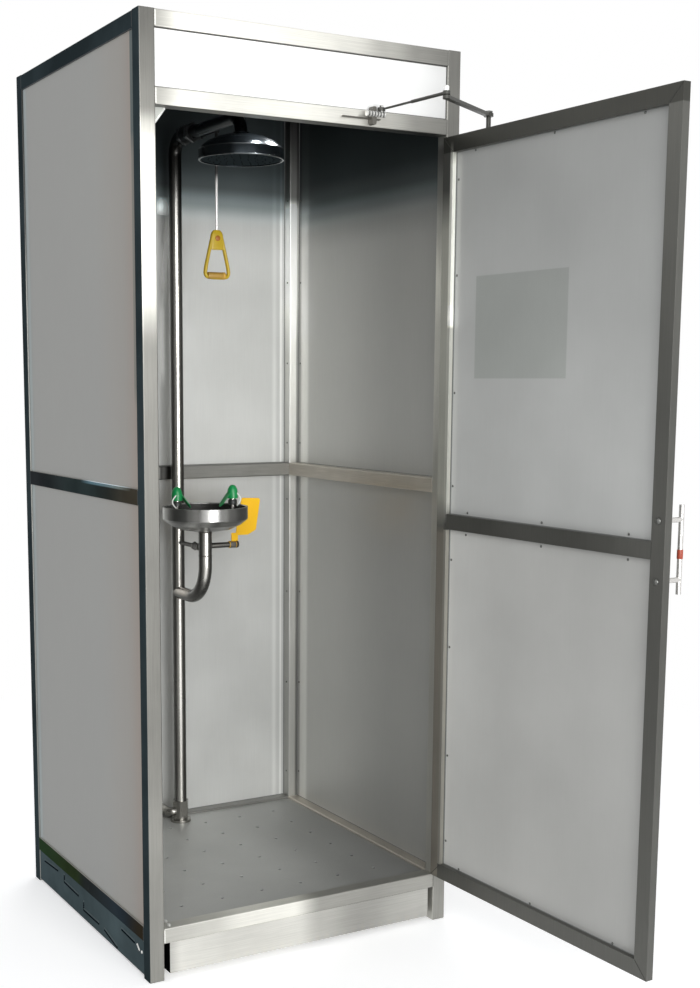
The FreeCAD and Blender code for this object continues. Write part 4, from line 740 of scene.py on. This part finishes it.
holes = [(bowl_x + 0.024 * math.cos(a), bowl_y + 0.024 * math.sin(a), bowl_low[2] + 0.0062)
         for a in np.linspace(0, 2 * np.pi, 12, endpoint=False)]
put("bowl_strainer", [turned([(0.032, 0.0), (0.032, 0.0012), (0.029, 0.0022), (0.014, 0.0022)],
                             (bowl_x, bowl_y, bowl_low[2] + 0.004))], screw_steel, "booth")
# The strainer's holes are drawn as dark dots of painted shade.
put("bowl_strainer_holes", domes(holes, (0, 0, 1), 0.0028, 0.0006, 8),
    finish_of("strainer_hole_shade", (26, 27, 28), "", metal=0.2), "booth")
green = finish_of("cap_green", (14, 142, 76), "", grain=0.02, cloud=0.15, metal=0.0, rough=0.3, bump=0.03)
strap_white = finish_of("strap_white", (232, 234, 228), "", metal=0.0, rough=0.4)
spray_black = finish_of("spray_ring", (40, 44, 42), "", metal=0.0, rough=0.4)
CAP_RADIUS = 0.016
for side, way in (("left", -1), ("right", 1)):
    node = "dust_cap_" + side
    dress(green, node)
    cap_low, cap_high = span(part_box(node))
    cap_x = (cap_low if way < 0 else cap_high)[0] - way * CAP_RADIUS
    share = np.linspace(0, 1, 17)
    strap = np.stack([cap_x + way * (0.008 + 0.012 * np.sin(np.pi * share)),
                      np.full_like(share, bowl_y - 0.013),
                      bowl_high[2] + 0.036 - 0.037 * share], axis=-1)
    put("dust_cap_%s_strap" % side, [carried(strap, 0.0021, 0.0011, 8)], strap_white,
        "booth")
    put("spray_head_%s" % side, [turned([(0.0115, -0.016), (0.0135, -0.014), (0.0135, -0.004),
                                         (0.0115, -0.001)], (cap_x, bowl_y, bowl_high[2] + 0.018), sides=24)],
        spray_black, "booth")

# Drain and branch trim
# Dark weld rings round the drain, at the bowl's outlet and below it, and hexagon nuts at both ends of the
# branch's valve.
drain_low, drain_high = span(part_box("eyewash_drain"))
drain_radius = (drain_high[0] - drain_low[0]) / 2
weld_dark = finish_of("weld_dark", (78, 72, 68), "", metal=0.7, rough=0.4)
put("drain_weld", [carried([bowl_x, bowl_y, drain_high[2] - 0.072] + ring * (drain_radius + 0.0001),
                           0.0011, sides=6),
                   carried([bowl_x, bowl_y, drain_high[2] - 0.002] + ring * (drain_radius + 0.0006),
                           0.0022, sides=6)],
    weld_dark, "booth")
branch_low, branch_high = span(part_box("eyewash_branch"))
flag_low, flag_high = span(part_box("push_flag"))
branch_y = (flag_low[1] + flag_high[1]) / 2
branch_z = (branch_low[2] + branch_high[2]) / 2
put("branch_valve_nuts", [turned([(0.0118, 0.0), (0.0132, 0.0015), (0.0132, 0.008), (0.0118, 0.0095)],
                                 (pipe_x, y, branch_z), (0, 1, 0), flats=6)
                          for y in (branch_y - 0.022, branch_y + 0.0125)],
    finish_of("branch_nut_steel", (120, 118, 114), "", metal=0.85, rough=0.3), "booth")

# Push flag
# A bare plate of yellow plastic on a turned hub with a dark cap.
dress(finish_of("flag_yellow", (246, 190, 6), "", grain=0.01, cloud=0.04, metal=0.0, rough=0.4, bump=0.02),
      "push_flag")
put("push_flag_cap", [turned([(0.0108, 0.0), (0.0112, 0.003), (0.0098, 0.007), (0.005, 0.009)],
                             (flag_low[0] + 0.0225, branch_y, branch_z), (1, 0, 0))],
    finish_of("cap_dark", (58, 52, 44), "", metal=0.2, rough=0.35), "push_flag")
put("push_flag_hub", [turned([(0.0095, 0.0003), (0.0108, 0.0012), (0.0108, 0.0205), (0.0095, 0.0222)],
                             (flag_low[0], branch_y, branch_z), (1, 0, 0), 28)],
    finish_of("hub_steel", (150, 146, 140), "x", metal=0.8, rough=0.25), "push_flag")

# Door
# A welded leaf of narrow tube with mitred corners and one mid rail, two sheets fixed with small screws, and a
# bar handle bolted through the free stile. A square on the upper sheet is darker where something was taken
# off.
joints = {joint["name"]: joint for joint in frame["record"]["behaviour"]["joints"]}
hinge = np.array(joints["door_hinge"]["pos_m"][:2])
OPEN = math.radians(92)
HINGE_SIDE, HINGE_OUT, LEAF_WIDE, LEAF_DEEP = 0.010, 0.006, 0.808, 0.020
LEAF_TUBE = 0.040  # width of the leaf's own tube, on its stiles and rails
DOOR_RAIL_LOW, DOOR_RAIL_HIGH = 1.108, 1.148  # heights of its mid rail
leaf_low, leaf_high = span(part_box("door_frame"))


def on_door(points):
    """Points given as distance from the leaf's hinge edge, depth from its outer face and height, carried to
    the open leaf: turned by the opening angle about the hinge line."""
    points = np.asarray(points, float)
    x = -(HINGE_SIDE + points[..., 0])
    y = HINGE_OUT + points[..., 1]
    return np.stack([hinge[0] + x * math.cos(OPEN) - y * math.sin(OPEN),
                     hinge[1] + x * math.sin(OPEN) + y * math.cos(OPEN), points[..., 2]], axis=-1)


INWARD = on_door([0.0, 1.0, 0.0]) - on_door([0.0, 0.0, 0.0])
# A faint painted light gradient up the door's tubes.
door_dark = [("Z", [(0.14, 1.0), (1.0, 0.95), (2.12, 1.05)])]
step_y = float(on_door([LEAF_TUBE, LEAF_DEEP / 2, 0.0])[1])
step = ("Y", step_y - 0.0010, step_y + 0.0100)
stile = ("Y", step_y + 0.0102, step_y + 0.060)
near_x, far_x = sorted(float(on_door([LEAF_TUBE, depth, 0.0])[0]) for depth in (0.0095, LEAF_DEEP + 0.001))
# Painted light on the hinge stile's faces, lightest high up, and painted shade along the top rail.
stile_painted_light = [((10.5, 10.6, 10.6, 1.0), [step, ("X", near_x, far_x),
                                          ("Z", 1.66, leaf_high[2] - 0.042, 0.03)]),
               ((6.0, 6.0, 6.0, 1.0), [step, ("X", near_x, far_x), ("Z", 1.15, 1.66, 0.03)]),
               ((3.4, 3.3, 3.2, 1.0), [step, ("X", near_x, far_x), ("Z", leaf_low[2] + 0.04, 1.106)]),
               ((4.6, 4.6, 4.5, 1.0), [stile, ("Z", 1.152, 1.93, 0.05)]),
               ((2.5, 2.3, 2.15, 1.0), [stile, ("Z", leaf_low[2], 1.104, 0.01)]),
               ((0.42, 0.42, 0.4, 1.0), [("Z", leaf_high[2] - 0.04, leaf_high[2] + 0.01)])]
dress(finish_of("door_tube", (88, 88, 84), "z", metal=0.6, rough=0.4, shades=door_dark,
                patches=stile_painted_light), "door_frame")
off_high, off_low = (float(on_door([along, 0, 0])[1]) for along in (0.126, 0.465))
patch = ((0.80, 0.82, 0.80, 1.0), [("Y", off_low, off_high), ("Z", 1.5025, 1.7585)])
# Painted light on the door's sheets: lighter towards the hinge, and the upper sheet darker towards the top.
lower_sheet_painted_light = [("Z", [(0.18, 1.0), (0.7, 1.08), (1.1, 1.05)]),
               ("Y", [(-0.65, 1.0), (-0.35, 1.14), (-0.06, 1.5)])]
dress(finish_of("door_sheet_upper", (166, 167, 165), "z", grain=0.02, cloud=0.05, metal=0.15, rough=0.5,
                patches=[patch],
                shades=[("Z", [(1.14, 1.15), (1.42, 1.15), (1.7, 0.97), (2.08, 0.78)]),
                        ("Y", [(-0.65, 1.0), (-0.35, 1.06), (-0.06, 1.22)])]), "door_panel_upper")
dress(finish_of("door_sheet_lower", (168, 168, 165), "z", grain=0.02, cloud=0.05, metal=0.15, rough=0.5,
                shades=lower_sheet_painted_light), "door_panel_lower")
inner_sheet = 0.0055
rows = [(along, level) for level, places in ((2.069, (0.113, 0.403, 0.688)), (1.156, (0.111, 0.397, 0.687)),
                                             (1.098, (0.106, 0.397, 0.687)), (0.188, (0.106, 0.394, 0.685)))
        for along in places]
columns = [(along, level) for along in (0.047, 0.761)
           for level in (2.005, 1.765, 1.465, 1.222, 1.026, 0.790, 0.491, 0.251)]
put("door_sheet_screws", domes(on_door([(along, inner_sheet, level) for along, level in rows + columns]),
                               INWARD, 0.0034, 0.0018), screw_steel, "door")
mitre = finish_of("mitre_line", (52, 52, 49), "", metal=0.5)
top, bottom = leaf_high[2], leaf_low[2]
short = 0.0015
inset = LEAF_TUBE - short
edges = ((short, inset), (LEAF_WIDE - short, LEAF_WIDE - inset))
mitres = [((outer, top - short), (inner, top - inset)) for outer, inner in edges]
mitres += [((outer, bottom + short), (inner, bottom + inset)) for outer, inner in edges]
mitres += [((inner, DOOR_RAIL_LOW + short), (inner, DOOR_RAIL_HIGH - short)) for outer, inner in edges]
put("door_mitre_seams", [seam(on_door([(a, LEAF_DEEP, b), (c, LEAF_DEEP, d)]), 0.0008, 0.0001)
                         for (a, b), (c, d) in mitres], mitre, "door")
beading = []
near, far = LEAF_TUBE, LEAF_WIDE - LEAF_TUBE
for low_edge, high_edge in ((bottom + LEAF_TUBE, DOOR_RAIL_LOW), (DOOR_RAIL_HIGH, top - LEAF_TUBE)):
    loop = [(near, low_edge), (far, low_edge), (far, high_edge), (near, high_edge)]
    loop = on_door([(along, inner_sheet, level) for along, level in loop])
    beading += [seam([loop[i], loop[(i + 1) % 4]], 0.0016, 0.0001) for i in range(4)]
put("door_sealant", beading, sealant, "door")

# Door handle
# A stainless bar on two posts, bolted through the stile; the bolts end in domed caps inside, and a band of
# red-brown tape is wound round the bar.
dress(finish_of("handle_steel", (205, 203, 200), "z", metal=0.7, rough=0.18), "door_handle")
bar_along = 0.788
bar = on_door([bar_along, -0.050, 1.118])
caps = on_door([(bar_along, LEAF_DEEP, level) for level in (1.061, 1.195)])
put("handle_bolt_caps", domes(caps, INWARD, 0.0075, 0.005, 16), screw_steel, "door")
put("handle_tape", [turned([(0.0063, -0.0105), (0.0068, -0.0095), (0.0068, 0.0095), (0.0063, 0.0105)], bar)],
    finish_of("tape_red", (150, 62, 40), "", metal=0.0, rough=0.5), "door")

# Hinges
# Steel lift-off hinges, the lower half on the post and the upper half on the door, each held by four screws
# with low heads.
dress(finish_of("hinge_steel", (120, 121, 118), "z", metal=0.85, rough=0.3), "hinge_leaf_lower",
      "hinge_leaf_upper", "hinge_plate_lower", "hinge_plate_upper")
head_out = 0.0021
for which in ("lower", "upper"):
    plate_low, plate_high = span(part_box("hinge_plate_" + which))
    fixed = [(plate_high[0] - along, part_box("post_front_right")[0][1] - head_out, plate_low[2] + up)
             for along in (0.008, 0.020) for up in (0.010, 0.038)]
    put("hinge_plate_%s_screws" % which, domes(fixed, (0, -1, 0), 0.0028, 0.0012), screw_steel,
        "booth")
    moving_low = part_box("hinge_leaf_" + which)[0]
    held = on_door([(along, -head_out, moving_low[2] + up)
                    for along in (0.004, 0.016) for up in (0.010, 0.038)])
    put("hinge_leaf_%s_screws" % which, domes(held, -INWARD, 0.0028, 0.0012), screw_steel,
        "door")

# Closer
# A plain body on the outside of the leaf, a flat main arm under a nut on the spindle, and a forearm under a
# bright cap at the elbow; on the header rail a foot with a bright ribbed knuckle at the forearm's pin.
# Painted shade: the top of the closer body is painted much darker.
dress(finish_of("closer_metal", (150, 150, 146), "x", metal=0.5, rough=0.4,
                patches=[((0.16, 0.16, 0.15, 1.0), [("Z", 2.1, 2.2)])]), "closer_body", "closer_shoe")
dress(finish_of("closer_arm_metal", (66, 66, 62), "", grain=0.05, metal=0.5, rough=0.45), "closer_arm",
      "closer_forearm")
pin = np.array(joints["closer_forearm_pivot"]["pos_m"])
shoe_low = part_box("closer_shoe")[0]
rail_y = float(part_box("header_rail")[0][1])
plate_z = shoe_low[2] + 0.007
put("closer_foot", [carried([(shoe_low[0] + 0.001, rail_y - 0.0018, plate_z),
                             (pin[0] + 0.009, rail_y - 0.0018, plate_z)],
                            0.0016, 0.0068, 16, 5.0),
                    carried([(pin[0] - 0.017, rail_y - 0.002, plate_z + 0.006),
                             (pin[0] - 0.017, pin[1] + 0.004, plate_z + 0.006)],
                            0.022, 0.0065, 16, 5.0)],
    finish_of("foot_grey", (98, 96, 90), "x", metal=0.4, rough=0.5), "booth", ("closer_shoe",))
RIB, RIBS = 0.0042, 13
ribs = [(0.0050, 0.0)]
for count in range(RIBS):
    across = 0.0056 if count % 2 else 0.0070
    ribs += [(across, RIB * count + 0.0003), (across, RIB * count + 0.0039)]
ribs.append((0.0050, 0.0548))
# Painted shade in the knuckle's grooves, with lighter ribs between, in stripes along X.
knuckle_groove_shade = [("X", [(pin[0] - 0.0419 + RIB * count, 0.12 if count % 2 else 1.1) for count in range(RIBS)])]
put("closer_knuckle", [turned(ribs, (pin[0] - 0.044, pin[1], shoe_low[2] + 0.0155), (1, 0, 0), 28),
                       turned([(0.0040, 0.0), (0.0048, 0.001), (0.0048, 0.017), (0.0036, 0.018)],
                              (pin[0], pin[1], shoe_low[2] + 0.020), sides=20)],
    finish_of("knuckle_bright", (214, 214, 210), "", metal=0.4, rough=0.3, shades=knuckle_groove_shade),
    "booth", ("closer_shoe",))
# The elbow cap is near white: a real end cap, its colour partly a painted highlight.
bright_cap = finish_of("elbow_bright", (238, 238, 234), "z", metal=0.3, rough=0.3)
arm_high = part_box("closer_arm")[1]
spindle = np.array(joints["closer_arm_pivot"]["pos_m"])
fore_low, fore_high = span(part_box("closer_forearm"))
elbow = np.array([fore_high[0] - 0.009, fore_low[1] + 0.009])
put("closer_elbow_cap", [turned([(0.0056, 0.0), (0.0060, 0.001), (0.0060, 0.010), (0.0045, 0.0125)],
                                (elbow[0], elbow[1], fore_high[2] - 0.0004), sides=20)],
    bright_cap, "closer_forearm")
put("closer_spindle_nut", [turned([(0.0095, 0.0), (0.0105, 0.001), (0.0105, 0.0045), (0.0095, 0.0055)],
                                  (spindle[0], spindle[1], arm_high[2] + 0.0002), flats=6)],
    screw_steel, "door")

low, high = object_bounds()
